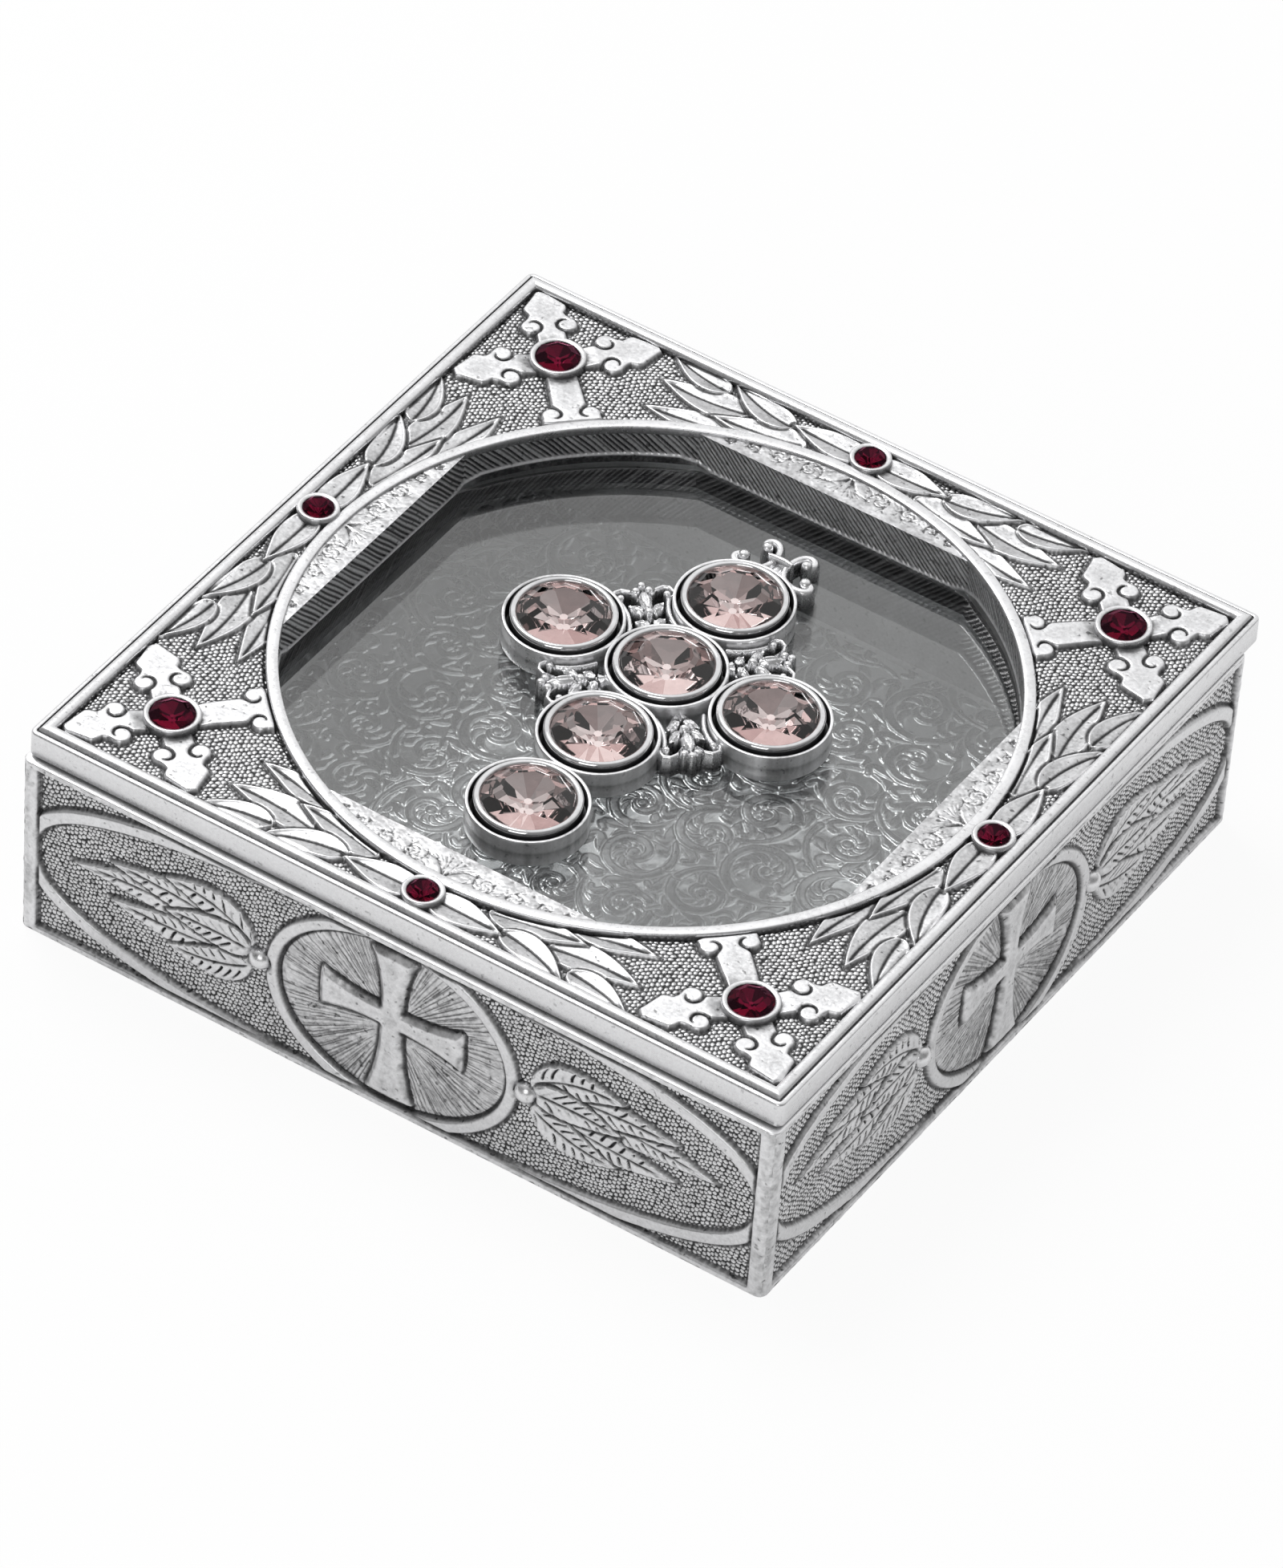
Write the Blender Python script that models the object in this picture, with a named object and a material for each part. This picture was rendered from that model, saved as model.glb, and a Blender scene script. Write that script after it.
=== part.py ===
"""Rosary box: a cast metal box whose hinged lid holds a glass window, red stones and a cross of rose crystals.

Metres, +Z up. The box stands on Z = 0 and its front faces -Y. Each wall has its own flat working frame:
X along the wall to the viewer's right, Y up the wall and Z outwards.
"""

import math

import bmesh
import bpy
from mathutils import Matrix, Vector

# Lid and box, outside
LID_SIDE = 0.0950
RIM_HEIGHT = 0.0279
LID_THICKNESS = 0.0036
LID_CORNER_RADIUS = 0.0009
LID_RIM_WIDTH = 0.0022
FIELD_DEPTH = 0.0008
SIDE_LEDGE = 0.0002
FRONT_LEDGE = 0.0008
BACK_OVERHANG = 0.0026
BASE_DRAFT = 0.0002
BASE_CORNER_RADIUS = 0.0010
WALL = 0.0022
FLOOR = 0.0020
CAVITY_CORNER_RADIUS = 0.0015

# Clearances
SEAT_GAP = 0.0001
CLEARANCE = 0.0003
PIN_CLEARANCE = 0.00008
EMBED = 0.0004
OVERRUN = 0.0010
RISE_STEP = 0.00005

# Relief of the walls
POST_WIDTH = 0.0021
BACK_POST_WIDTH = 0.0013
TOP_BORDER = 0.0009
BOTTOM_BORDER = 0.0009
PANEL_DEPTH = 0.0006
BAND_WIDTH = 0.0017
BAND_DROP = 0.00006
BAND_SQUARENESS = 2.4
MEDALLION_HALF_LENGTH = 0.0145
MEDALLION_WIDTH = 0.0016
MEDALLION_DROP = 0.00003
WALL_CROSS_MARGIN = 0.00095
WALL_CROSS_WAIST = 0.0032
WALL_CROSS_END = 0.0058
WALL_CROSS_RISE = 0.0007
BALL_RADIUS = 0.0013
BALL_PROUD = 0.0006
BALL_OUT = 0.0008
PALM_END_GAP = 0.0052
PALM_RISE = 0.0005

# Window of the lid
RING_MARGIN = 0.0042
RING_WIDTH = 0.00135
RING_DROP = 0.0001
PANEL_DROP = 0.00048
WINDOW_INSET = 0.0040
GLASS_DROP = 0.0051
REBATE = 0.0015
FRAME_WALL = 0.0013
GLASS_THICKNESS = 0.0020
RETAINER_THICKNESS = 0.0010

# Ornament of the lid
CORNER_STONE_INSET = 0.0087
FLEUR_WIDTH = 0.0117
FLEUR_RISE = 0.00065
LAUREL_END_GAP = 0.0105
LAUREL_RISE = 0.0006

# Red stones
CORNER_STONE_RADIUS = 0.00255
SIDE_STONE_RADIUS = 0.00178
STONE_DEPTH = 0.0011
STONE_CROWN = 0.0009
STONE_PROUD = 0.0003
STONE_BEZEL_WALL = 0.00062

# Cross on the glass
CROSS_FOOT_MARGIN = 0.0056
CROSS_HEAD_MARGIN = 0.0128
CUP_OVERLAP = 0.0002
CUP_HEIGHT = 0.0034
CUP_WALL = 0.00042
CUP_FLOOR = 0.0010
CUP_GROOVE = 0.00041
BEZEL_WALL = 0.00055
BEZEL_LIP = 0.00030
BEZEL_PROUD = 0.0006
BEZEL_ROUND = 0.00030
BEZEL_LIP_DEPTH = 0.00030
CRYSTAL_SINK = 0.0006
CRYSTAL_CROWN = 0.0010
TREFOIL_RISE = 0.0027
FINIAL_RISE = 0.0024
SCROLL_WIDTH = 0.0010
SCROLL_END_RADIUS = 0.0009

# Hinge
KNUCKLE_RADIUS = 0.00125
HINGE_INSET = 0.0195
LID_KNUCKLE_LENGTH = 0.0080
BASE_KNUCKLE_LENGTH = 0.0040
HINGE_OUT = 0.00037
PIN_RADIUS = 0.0005

# Shares: places and widths as parts of the size that they follow
TREFOIL_SHARES = (0.226, 0.526)
FINIAL_SHARE = 0.771
RIM_PROFILE_SHARES = (
    (0.00, 1.00),
    (0.06, 0.68),
    (0.15, 0.54),
    (0.25, 0.56),
    (0.28, 0.86),
    (0.34, 0.86),
    (0.38, 0.46),
    (0.50, 0.10),
    (0.66, 0.00),
    (0.82, 0.07),
    (0.96, 0.34),
    (1.00, 1.00),
)
FLEUR_ARM_SHARES = ((0.41, 0.139), (0.64, 0.130), (0.74, 0.185), (0.89, 0.115), (1.00, 0.0))
FLEUR_ROOT_SHARE = 0.147
FLEUR_CURL_PLACE_SHARE = 0.50
FLEUR_CURL_SHARES = (0.205, 0.085)
CURL_FROM = math.radians(215)
CURL_TO = math.radians(-40)
RIM_INNER_CORNER_SHARE = 0.1
LAUREL_SHARES = (
    ((0.03, 0.000), (0.384, 0.008)),
    ((0.285, 0.072), (0.707, 0.156)),
    ((0.36, 0.020), (0.740, -0.100)),
    ((0.57, 0.175), (0.970, 0.270)),
    ((0.59, 0.050), (1.000, 0.091)),
    ((0.72, -0.010), (1.050, -0.090)),
)
LAUREL_WIDTH_SHARE = 0.074
PALM_SHARES = (
    ((0.00, 0.00), (0.50, 0.01)),
    ((0.03, 0.05), (0.53, 0.20)),
    ((0.05, -0.06), (0.50, -0.20)),
    ((0.25, 0.08), (0.81, 0.09)),
    ((0.28, -0.05), (0.83, -0.12)),
    ((0.45, 0.01), (1.00, 0.00)),
)
PALM_WIDTH_SHARE = 0.095
WALL_CROSS_ARM_SHARES = (0.439, 0.447, 0.439, 0.553)
CROWN_SHARES = ((0.78, 0.62), (0.42, 1.00))
CULET_SHARE = 0.30
STONE_GIRDLE_SHARE = 0.80
TREFOIL_LOBE_SHARE = 0.35
FINIAL_STEM_SHARES = (0.15, 0.66)
LOWER_SCROLL_SHARES = (0.44, 0.33, 0.35, 0.29)
UPPER_SCROLL_SHARES = (0.365, 0.80, 0.29, 0.17)
LOWER_SCROLL_TURN = (math.radians(150), math.radians(380))
UPPER_SCROLL_TURN = (math.radians(215), math.radians(-60))

UPRIGHT_CUPS = 4
CORNER_STEPS = 3
ARC_STEPS = 5
ROUND_STEPS = 20
CRYSTAL_STEPS = 12
STONE_STEPS = 12
BAND_STEPS = 28
RING_STEPS = 44
CURL_STEPS = 4
LEAF_STEPS = 3
FLARE_STEPS = 3
SCROLL_STEPS = 6
TREFOIL_STEPS = 15

LID_HALF = LID_SIDE / 2
LID_Y = (FRONT_LEDGE + BALL_PROUD - BASE_DRAFT / 2) / 2
LID_BOTTOM = RIM_HEIGHT - LID_THICKNESS
FIELD_TOP = RIM_HEIGHT - FIELD_DEPTH
BASE_TOP = LID_BOTTOM - CLEARANCE
BASE_HALF_X = LID_HALF + SIDE_LEDGE
BASE_FRONT = LID_Y - LID_HALF - FRONT_LEDGE
BASE_BACK = LID_Y + LID_HALF - BACK_OVERHANG
BASE_Y = (BASE_FRONT + BASE_BACK) / 2
BASE_HALF_Y = (BASE_BACK - BASE_FRONT) / 2
GLASS_TOP = RIM_HEIGHT - GLASS_DROP
GLASS_BOTTOM = GLASS_TOP - GLASS_THICKNESS
RETAINER_TOP = GLASS_BOTTOM - SEAT_GAP
FRAME_BOTTOM = RETAINER_TOP - RETAINER_THICKNESS
FIELD_HALF = LID_HALF - LID_RIM_WIDTH
RING_RADIUS = FIELD_HALF - RING_MARGIN
WINDOW_HALF = RING_RADIUS - RING_WIDTH - WINDOW_INSET
CORNER_STONE_PLACE = FIELD_HALF - CORNER_STONE_INSET
SIDE_STONE_PLACE = (FIELD_HALF + RING_RADIUS) / 2
LAUREL_LENGTH = CORNER_STONE_PLACE - LAUREL_END_GAP
PANEL_HEIGHT = BASE_TOP - TOP_BORDER - BOTTOM_BORDER
WALL_CROSS_HEIGHT = PANEL_HEIGHT - 2 * WALL_CROSS_MARGIN
BALL_PLACE = MEDALLION_HALF_LENGTH + MEDALLION_WIDTH + BALL_OUT
PALM_LENGTH = BASE_HALF_X - POST_WIDTH - BALL_PLACE - PALM_END_GAP
HINGE_PLACE = LID_HALF - HINGE_INSET
HINGE_Y = BASE_BACK + HINGE_OUT
HINGE_Z = (BASE_TOP + LID_BOTTOM) / 2
CUP_BOTTOM = GLASS_TOP + SEAT_GAP
CUP_TOP = CUP_BOTTOM + CUP_HEIGHT
CUP_PITCH = (2 * WINDOW_HALF - CROSS_FOOT_MARGIN - CROSS_HEAD_MARGIN) / UPRIGHT_CUPS
CUP_RADIUS = (CUP_PITCH + CUP_OVERLAP) / 2
CROSS_LOW_PLACE = CROSS_FOOT_MARGIN + CUP_RADIUS - WINDOW_HALF
BEZEL_RADIUS = CUP_RADIUS - CUP_WALL - CUP_GROOVE
TREFOIL_RADIUS, TREFOIL_PLACE = (CUP_PITCH * share for share in TREFOIL_SHARES)
FINIAL_LENGTH = CUP_RADIUS * FINIAL_SHARE


def material(name, colour, metallic, roughness, transmission=0.0):
    """A Principled material, made once and then shared by name."""
    found = bpy.data.materials.get(name)
    if found:
        return found
    made = bpy.data.materials.new(name)
    made.use_nodes = True
    shader = made.node_tree.nodes["Principled BSDF"]
    shader.inputs["Base Color"].default_value = (*colour, 1.0)
    shader.inputs["Metallic"].default_value = metallic
    shader.inputs["Roughness"].default_value = roughness
    shader.inputs["Transmission Weight"].default_value = transmission
    return made


def pewter():
    return material("antique_pewter", (0.62, 0.62, 0.63), 1.0, 0.38)


def bright_metal():
    return material("polished_silver", (0.78, 0.78, 0.79), 1.0, 0.18)


def steel():
    return material("hinge_steel", (0.45, 0.45, 0.46), 1.0, 0.30)


def clear_glass():
    return material("window_glass", (0.86, 0.89, 0.88), 0.0, 0.04, 1.0)


def rose_crystal():
    return material("rose_crystal", (0.90, 0.66, 0.66), 0.0, 0.05, 0.8)


def red_glass():
    return material("amethyst_red_glass", (0.28, 0.02, 0.10), 0.0, 0.06, 0.5)


def skin(name, loops, surface, closed=False, frame=None):
    """An object skinned over loops of equally many points: capped at both ends, or closed on itself."""
    mesh = bmesh.new()
    rows = [[mesh.verts.new(point) for point in loop] for loop in loops]
    pairs = list(zip(rows, rows[1:] + rows[:1])) if closed else list(zip(rows, rows[1:]))
    for low, high in pairs:
        for index in range(len(low)):
            after = (index + 1) % len(low)
            mesh.faces.new((low[index], low[after], high[after], high[index]))
    if not closed:
        mesh.faces.new(list(reversed(rows[0])))
        mesh.faces.new(rows[-1])
    bmesh.ops.recalc_face_normals(mesh, faces=mesh.faces)
    data = bpy.data.meshes.new(name)
    mesh.to_mesh(data)
    mesh.free()
    data.materials.append(surface)
    made = bpy.data.objects.new(name, data)
    made.matrix_world = frame or Matrix.Identity(4)
    bpy.context.scene.collection.objects.link(made)
    return made


def flat_loop(outline, height):
    return [(x, y, height) for x, y in outline]


def prism(name, outline, low, high, surface, frame=None):
    return skin(name, [flat_loop(outline, low), flat_loop(outline, high)], surface, frame=frame)


def tube_prism(name, outer, inner, low, high, surface, frame=None):
    """An upright ring between two outlines that have equally many points."""
    loops = [flat_loop(outer, low), flat_loop(outer, high), flat_loop(inner, high), flat_loop(inner, low)]
    return skin(name, loops, surface, closed=True, frame=frame)


def circle(radius, steps, x=0.0, y=0.0, turn=0.0):
    angles = [turn + 2 * math.pi * step / steps for step in range(steps)]
    return [(x + radius * math.cos(angle), y + radius * math.sin(angle)) for angle in angles]


def turned(name, profile, steps, place, surface, closed=False):
    """A turned piece: profile holds (radius, height) pairs, and place is the point that it stands on."""
    loops = [flat_loop(circle(radius, steps), height) for radius, height in profile]
    return skin(name, loops, surface, closed, Matrix.Translation(place))


def rod(name, radius, low_x, high_x, surface, steps=ROUND_STEPS):
    """A round bar along X on the hinge's axis."""
    loops = []
    for x in (low_x, high_x):
        ends = circle(radius, steps)
        loops.append([(x, HINGE_Y + y, HINGE_Z + z) for y, z in ends])
    return skin(name, loops, surface)


def rounded_rect(half_x, half_y, radius, centre_y):
    points = []
    for corner, (sign_x, sign_y) in enumerate(((1, 1), (-1, 1), (-1, -1), (1, -1))):
        for step in range(CORNER_STEPS + 1):
            angle = (corner + step / CORNER_STEPS) * math.pi / 2
            x = sign_x * (half_x - radius) + radius * math.cos(angle)
            y = sign_y * (half_y - radius) + radius * math.sin(angle)
            points.append((x, centre_y + y))
    return points


def window_outline(offset):
    """The ring's inner circle cut by four straight chords, all moved outwards by the offset."""
    radius = RING_RADIUS - RING_WIDTH + offset
    half = WINDOW_HALF + offset
    first = math.acos(half / radius)
    points = []
    for corner in range(4):
        for step in range(ARC_STEPS + 1):
            angle = corner * math.pi / 2 + first + (math.pi / 2 - 2 * first) * step / ARC_STEPS
            points.append((radius * math.cos(angle), LID_Y + radius * math.sin(angle)))
    return points


def leaf_outline(start, tip, half_width):
    """A lens from the start to the tip, widest near its middle."""
    start, tip = Vector(start), Vector(tip)
    along = tip - start
    side = Vector((-along.y, along.x)).normalized() * half_width
    places = [step / LEAF_STEPS for step in range(1, LEAF_STEPS)]
    right = [start + along * place - side * math.sin(math.pi * place) for place in places]
    left = [start + along * place + side * math.sin(math.pi * place) for place in reversed(places)]
    return [tuple(point) for point in (start, *right, tip, *left)]


def hidden(objects, title):
    """Puts helper objects in a collection of their own, left out of the finished model."""
    group = bpy.data.collections.new(title)
    bpy.context.scene.collection.children.link(group)
    for helper in objects:
        bpy.context.scene.collection.objects.unlink(helper)
        group.objects.link(helper)
        helper.hide_render = True
        helper.display_type = "WIRE"
    return group


def combine(target, objects, title, operation):
    modifier = target.modifiers.new(title, "BOOLEAN")
    modifier.operation = operation
    modifier.solver = "EXACT"
    modifier.operand_type = "COLLECTION"
    modifier.collection = hidden(objects, title)


def smooth(made, degrees=35.0):
    made.data.shade_smooth()
    made.data.set_sharp_from_angle(angle=math.radians(degrees))
    return made


def walls():
    """Name, direction to the viewer's right, half length and the two post widths of each wall of the base."""
    return (
        ("front", Vector((1, 0, 0)), BASE_HALF_X, POST_WIDTH, POST_WIDTH),
        ("right", Vector((0, 1, 0)), BASE_HALF_Y, POST_WIDTH, BACK_POST_WIDTH),
        ("back", Vector((-1, 0, 0)), BASE_HALF_X, POST_WIDTH, POST_WIDTH),
        ("left", Vector((0, -1, 0)), BASE_HALF_Y, BACK_POST_WIDTH, POST_WIDTH),
    )


def wall_frame(right):
    """The frame of the leaning wall whose viewer has this direction to the right."""
    outwards = Vector((right.y, -right.x, 0))
    reach = BASE_HALF_X if right.y else BASE_HALF_Y
    up = (outwards * BASE_DRAFT + Vector((0, 0, BASE_TOP))).normalized()
    normal = right.cross(up)
    foot = Vector((0, BASE_Y, 0)) + outwards * (reach - BASE_DRAFT)
    columns = Matrix((right, up, normal)).transposed().to_4x4()
    return Matrix.Translation(foot) @ columns


def rectangle(low_x, high_x, low_y, high_y):
    return [(low_x, low_y), (high_x, low_y), (high_x, high_y), (low_x, high_y)]


def squared_ellipse(half_x, half_y, centre, squareness, steps):
    points = []
    for step in range(steps):
        angle = 2 * math.pi * (step + 0.5) / steps
        x = math.copysign(abs(math.cos(angle)) ** (2 / squareness), math.cos(angle))
        y = math.copysign(abs(math.sin(angle)) ** (2 / squareness), math.sin(angle))
        points.append(Vector((centre[0] + half_x * x, centre[1] + half_y * y)))
    return points


def moved_out(points, width, limits):
    """The outline moved outwards along its normals and held inside the wall's limits."""
    low_x, high_x, low_y, high_y = limits
    moved = []
    for index, point in enumerate(points):
        along = points[(index + 1) % len(points)] - points[index - 1]
        out = point + Vector((along.y, -along.x)).normalized() * width
        moved.append((min(max(out.x, low_x), high_x), min(max(out.y, low_y), high_y)))
    return moved


def wall_cross_outline(centre):
    """A cross with flared arms and a longer foot."""
    points = []
    for arm, share in enumerate(WALL_CROSS_ARM_SHARES):
        length = WALL_CROSS_HEIGHT * share
        angle = arm * math.pi / 2
        half = []
        for step in range(FLARE_STEPS + 1):
            part = step / FLARE_STEPS
            flare = (WALL_CROSS_END - WALL_CROSS_WAIST) / 2 * part**2
            along = WALL_CROSS_WAIST / 2 + (length - WALL_CROSS_WAIST / 2) * part
            half.append((along, WALL_CROSS_WAIST / 2 + flare))
        arm_points = [(along, -side) for along, side in half[1:]] + [(along, side) for along, side in half[::-1]]
        for along, side in arm_points:
            x = along * math.cos(angle) - side * math.sin(angle)
            y = along * math.sin(angle) + side * math.cos(angle)
            points.append((centre[0] + x, centre[1] + y))
    return points


def wall_relief(title, right, half_length, left_post, right_post):
    """The recess cutter of one wall, and the raised pieces that stand in the recess."""
    frame = wall_frame(right)
    metal = pewter()
    low_x, high_x = -half_length + left_post, half_length - right_post
    low_y, high_y = BOTTOM_BORDER, BASE_TOP - TOP_BORDER
    recess = prism(
        f"{title}_recess", rectangle(low_x, high_x, low_y, high_y), -PANEL_DEPTH, OVERRUN, metal, frame
    )
    centre = ((low_x + high_x) / 2, (low_y + high_y) / 2)
    half_x, half_y = (high_x - low_x) / 2, (high_y - low_y) / 2
    limits = (
        low_x - left_post / 2,
        high_x + right_post / 2,
        low_y - BOTTOM_BORDER / 2,
        high_y + TOP_BORDER / 2,
    )
    root = -PANEL_DEPTH - EMBED
    raised = []

    inner = squared_ellipse(half_x, half_y, centre, BAND_SQUARENESS, BAND_STEPS)
    outer = moved_out(inner, BAND_WIDTH, limits)
    raised.append(tube_prism(f"{title}_band", outer, inner, root, -BAND_DROP, metal, frame))

    inner = squared_ellipse(MEDALLION_HALF_LENGTH, half_y, centre, 2, BAND_STEPS)
    outer = moved_out(inner, MEDALLION_WIDTH, limits)
    raised.append(tube_prism(f"{title}_medallion", outer, inner, root, -MEDALLION_DROP, metal, frame))

    low_arm, high_arm = WALL_CROSS_ARM_SHARES[3], WALL_CROSS_ARM_SHARES[1]
    cross_centre = (centre[0], centre[1] + WALL_CROSS_HEIGHT * (low_arm - high_arm) / 2)
    top = WALL_CROSS_RISE - PANEL_DEPTH
    raised.append(prism(f"{title}_cross", wall_cross_outline(cross_centre), root, top, metal, frame))

    for side in (-1, 1):
        ball_x = centre[0] + side * BALL_PLACE
        for number, (start, tip) in enumerate(PALM_SHARES):
            ends = [
                (ball_x + side * PALM_LENGTH * x, centre[1] + PALM_LENGTH * y) for x, y in (start, tip)
            ]
            outline = leaf_outline(ends[0], ends[1], PALM_LENGTH * PALM_WIDTH_SHARE)
            high = PALM_RISE - PANEL_DEPTH - number * RISE_STEP
            raised.append(prism(f"{title}_palm_{side}_{number}", outline, root, high, metal, frame))
        place = frame @ Vector((ball_x, centre[1], BALL_PROUD - BALL_RADIUS))
        raised.append(ball(f"{title}_ball_{side}", place, metal))
    return recess, raised


def ball(name, place, surface):
    mesh = bmesh.new()
    bmesh.ops.create_icosphere(mesh, subdivisions=2, radius=BALL_RADIUS)
    data = bpy.data.meshes.new(name)
    mesh.to_mesh(data)
    mesh.free()
    data.materials.append(surface)
    made = bpy.data.objects.new(name, data)
    made.location = place
    bpy.context.scene.collection.objects.link(made)
    return made


def hinge_spans(side):
    """The X spans of the lid's knuckle and of the base's two knuckles at one hinge."""
    centre = side * HINGE_PLACE
    half = LID_KNUCKLE_LENGTH / 2
    inner, outer = half + CLEARANCE, half + CLEARANCE + BASE_KNUCKLE_LENGTH
    return (centre - half, centre + half), ((centre - outer, centre - inner), (centre + inner, centre + outer))


def base_box():
    metal = pewter()
    bottom = rounded_rect(BASE_HALF_X - BASE_DRAFT, BASE_HALF_Y - BASE_DRAFT, BASE_CORNER_RADIUS, BASE_Y)
    top = rounded_rect(BASE_HALF_X, BASE_HALF_Y, BASE_CORNER_RADIUS, BASE_Y)
    box = skin("base_box", [flat_loop(bottom, 0.0), flat_loop(top, BASE_TOP)], metal)
    recesses, raised = [], []
    for title, right, half_length, left_post, right_post in walls():
        recess, pieces = wall_relief(title, right, half_length, left_post, right_post)
        recesses.append(recess)
        raised.extend(pieces)
    inner = rounded_rect(
        BASE_HALF_X - BASE_DRAFT - WALL, BASE_HALF_Y - BASE_DRAFT - WALL, CAVITY_CORNER_RADIUS, BASE_Y
    )
    cuts = [prism("cavity", inner, FLOOR, BASE_TOP + OVERRUN, metal)]
    for side in (-1, 1):
        lid_span, base_spans = hinge_spans(side)
        for number, (low, high) in enumerate(base_spans):
            raised.append(rod(f"base_knuckle_{side}_{number}", KNUCKLE_RADIUS, low, high, metal))
        pocket = KNUCKLE_RADIUS + CLEARANCE
        cuts.append(
            rod(f"lid_knuckle_pocket_{side}", pocket, lid_span[0] - CLEARANCE, lid_span[1] + CLEARANCE, metal)
        )
        hole = PIN_RADIUS + PIN_CLEARANCE
        cuts.append(
            rod(f"base_pin_hole_{side}", hole, base_spans[0][0] - CLEARANCE, base_spans[1][1] + CLEARANCE, metal)
        )
    combine(box, recesses, "wall_recesses", "DIFFERENCE")
    combine(box, raised, "wall_ornament", "UNION")
    combine(box, cuts, "box_cuts", "DIFFERENCE")
    return smooth(box)


def fleur_arm(length):
    """One arm of a corner cross, from its right root to its left root: column, curl and pointed end."""
    curl_x = length * FLEUR_CURL_PLACE_SHARE
    curl_y, curl_radius = (FLEUR_WIDTH * share for share in FLEUR_CURL_SHARES)
    column, *end = [(length * x, FLEUR_WIDTH * y) for x, y in FLEUR_ARM_SHARES]
    curl = []
    for step in range(CURL_STEPS + 1):
        angle = CURL_FROM + (CURL_TO - CURL_FROM) * step / CURL_STEPS
        curl.append((curl_x + curl_radius * math.cos(angle), curl_y + curl_radius * math.sin(angle)))
    left = [column, *curl, *end]
    right = [(along, -side) for along, side in left]
    return right + left[-2::-1]


def corner_cross(title, quarter, metal):
    """Four arms round one corner stone. The arm that meets the ring is the shorter one."""
    corner = Vector((1, 1)) * CORNER_STONE_PLACE
    rim_reach = CORNER_STONE_INSET * math.sqrt(2) + EMBED
    ring_reach = corner.length - RING_RADIUS + EMBED
    points = []
    root = FLEUR_WIDTH * FLEUR_ROOT_SHARE
    for arm, length in enumerate((rim_reach, rim_reach, ring_reach, rim_reach)):
        angle = math.pi / 4 + arm * math.pi / 2
        for along, side in [*fleur_arm(length), (root, root)]:
            x = corner.x + along * math.cos(angle) - side * math.sin(angle)
            y = corner.y + along * math.sin(angle) + side * math.cos(angle)
            points.append((x, y))
    frame = Matrix.Translation((0, LID_Y, 0)) @ Matrix.Rotation(quarter * math.pi / 2, 4, "Z")
    return prism(f"{title}_{quarter}", points, FIELD_TOP - EMBED, FIELD_TOP + FLEUR_RISE, metal, frame)


def laurel_leaves(quarter, metal):
    """The leaves on both sides of one side stone, laid from the stone towards the corners."""
    frame = Matrix.Translation((0, LID_Y, 0)) @ Matrix.Rotation(quarter * math.pi / 2, 4, "Z")
    leaves = []
    for side in (-1, 1):
        for number, ends in enumerate(LAUREL_SHARES):
            start, tip = [
                (side * LAUREL_LENGTH * x, LAUREL_LENGTH * y - SIDE_STONE_PLACE) for x, y in ends
            ]
            outline = leaf_outline(start, tip, LAUREL_LENGTH * LAUREL_WIDTH_SHARE)
            high = FIELD_TOP + LAUREL_RISE - number * RISE_STEP
            leaves.append(
                prism(f"laurel_{quarter}_{side}_{number}", outline, FIELD_TOP - EMBED, high, metal, frame)
            )
    return leaves


def stone_places():
    """Name, place and radius of each red stone."""
    places = []
    titles = (("back_right", 1, 1), ("back_left", -1, 1), ("front_left", -1, -1), ("front_right", 1, -1))
    for title, x, y in titles:
        place = (x * CORNER_STONE_PLACE, LID_Y + y * CORNER_STONE_PLACE)
        places.append((f"corner_stone_{title}", place, CORNER_STONE_RADIUS))
    for title, x, y in (("back", 0, 1), ("left", -1, 0), ("front", 0, -1), ("right", 1, 0)):
        place = (x * SIDE_STONE_PLACE, LID_Y + y * SIDE_STONE_PLACE)
        places.append((f"side_stone_{title}", place, SIDE_STONE_RADIUS))
    return places


def lid_body(metal):
    """The square plate of the lid with its moulded rim, flat at the level of the beaded field."""
    loops = [flat_loop(rounded_rect(LID_HALF, LID_HALF, LID_CORNER_RADIUS, LID_Y), LID_BOTTOM)]
    for inset_share, drop_share in RIM_PROFILE_SHARES:
        half = LID_HALF - LID_RIM_WIDTH * inset_share
        radius = LID_CORNER_RADIUS * (1 - inset_share + RIM_INNER_CORNER_SHARE * inset_share)
        loops.append(flat_loop(rounded_rect(half, half, radius, LID_Y), RIM_HEIGHT - FIELD_DEPTH * drop_share))
    return skin("lid_frame", loops, metal)


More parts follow.
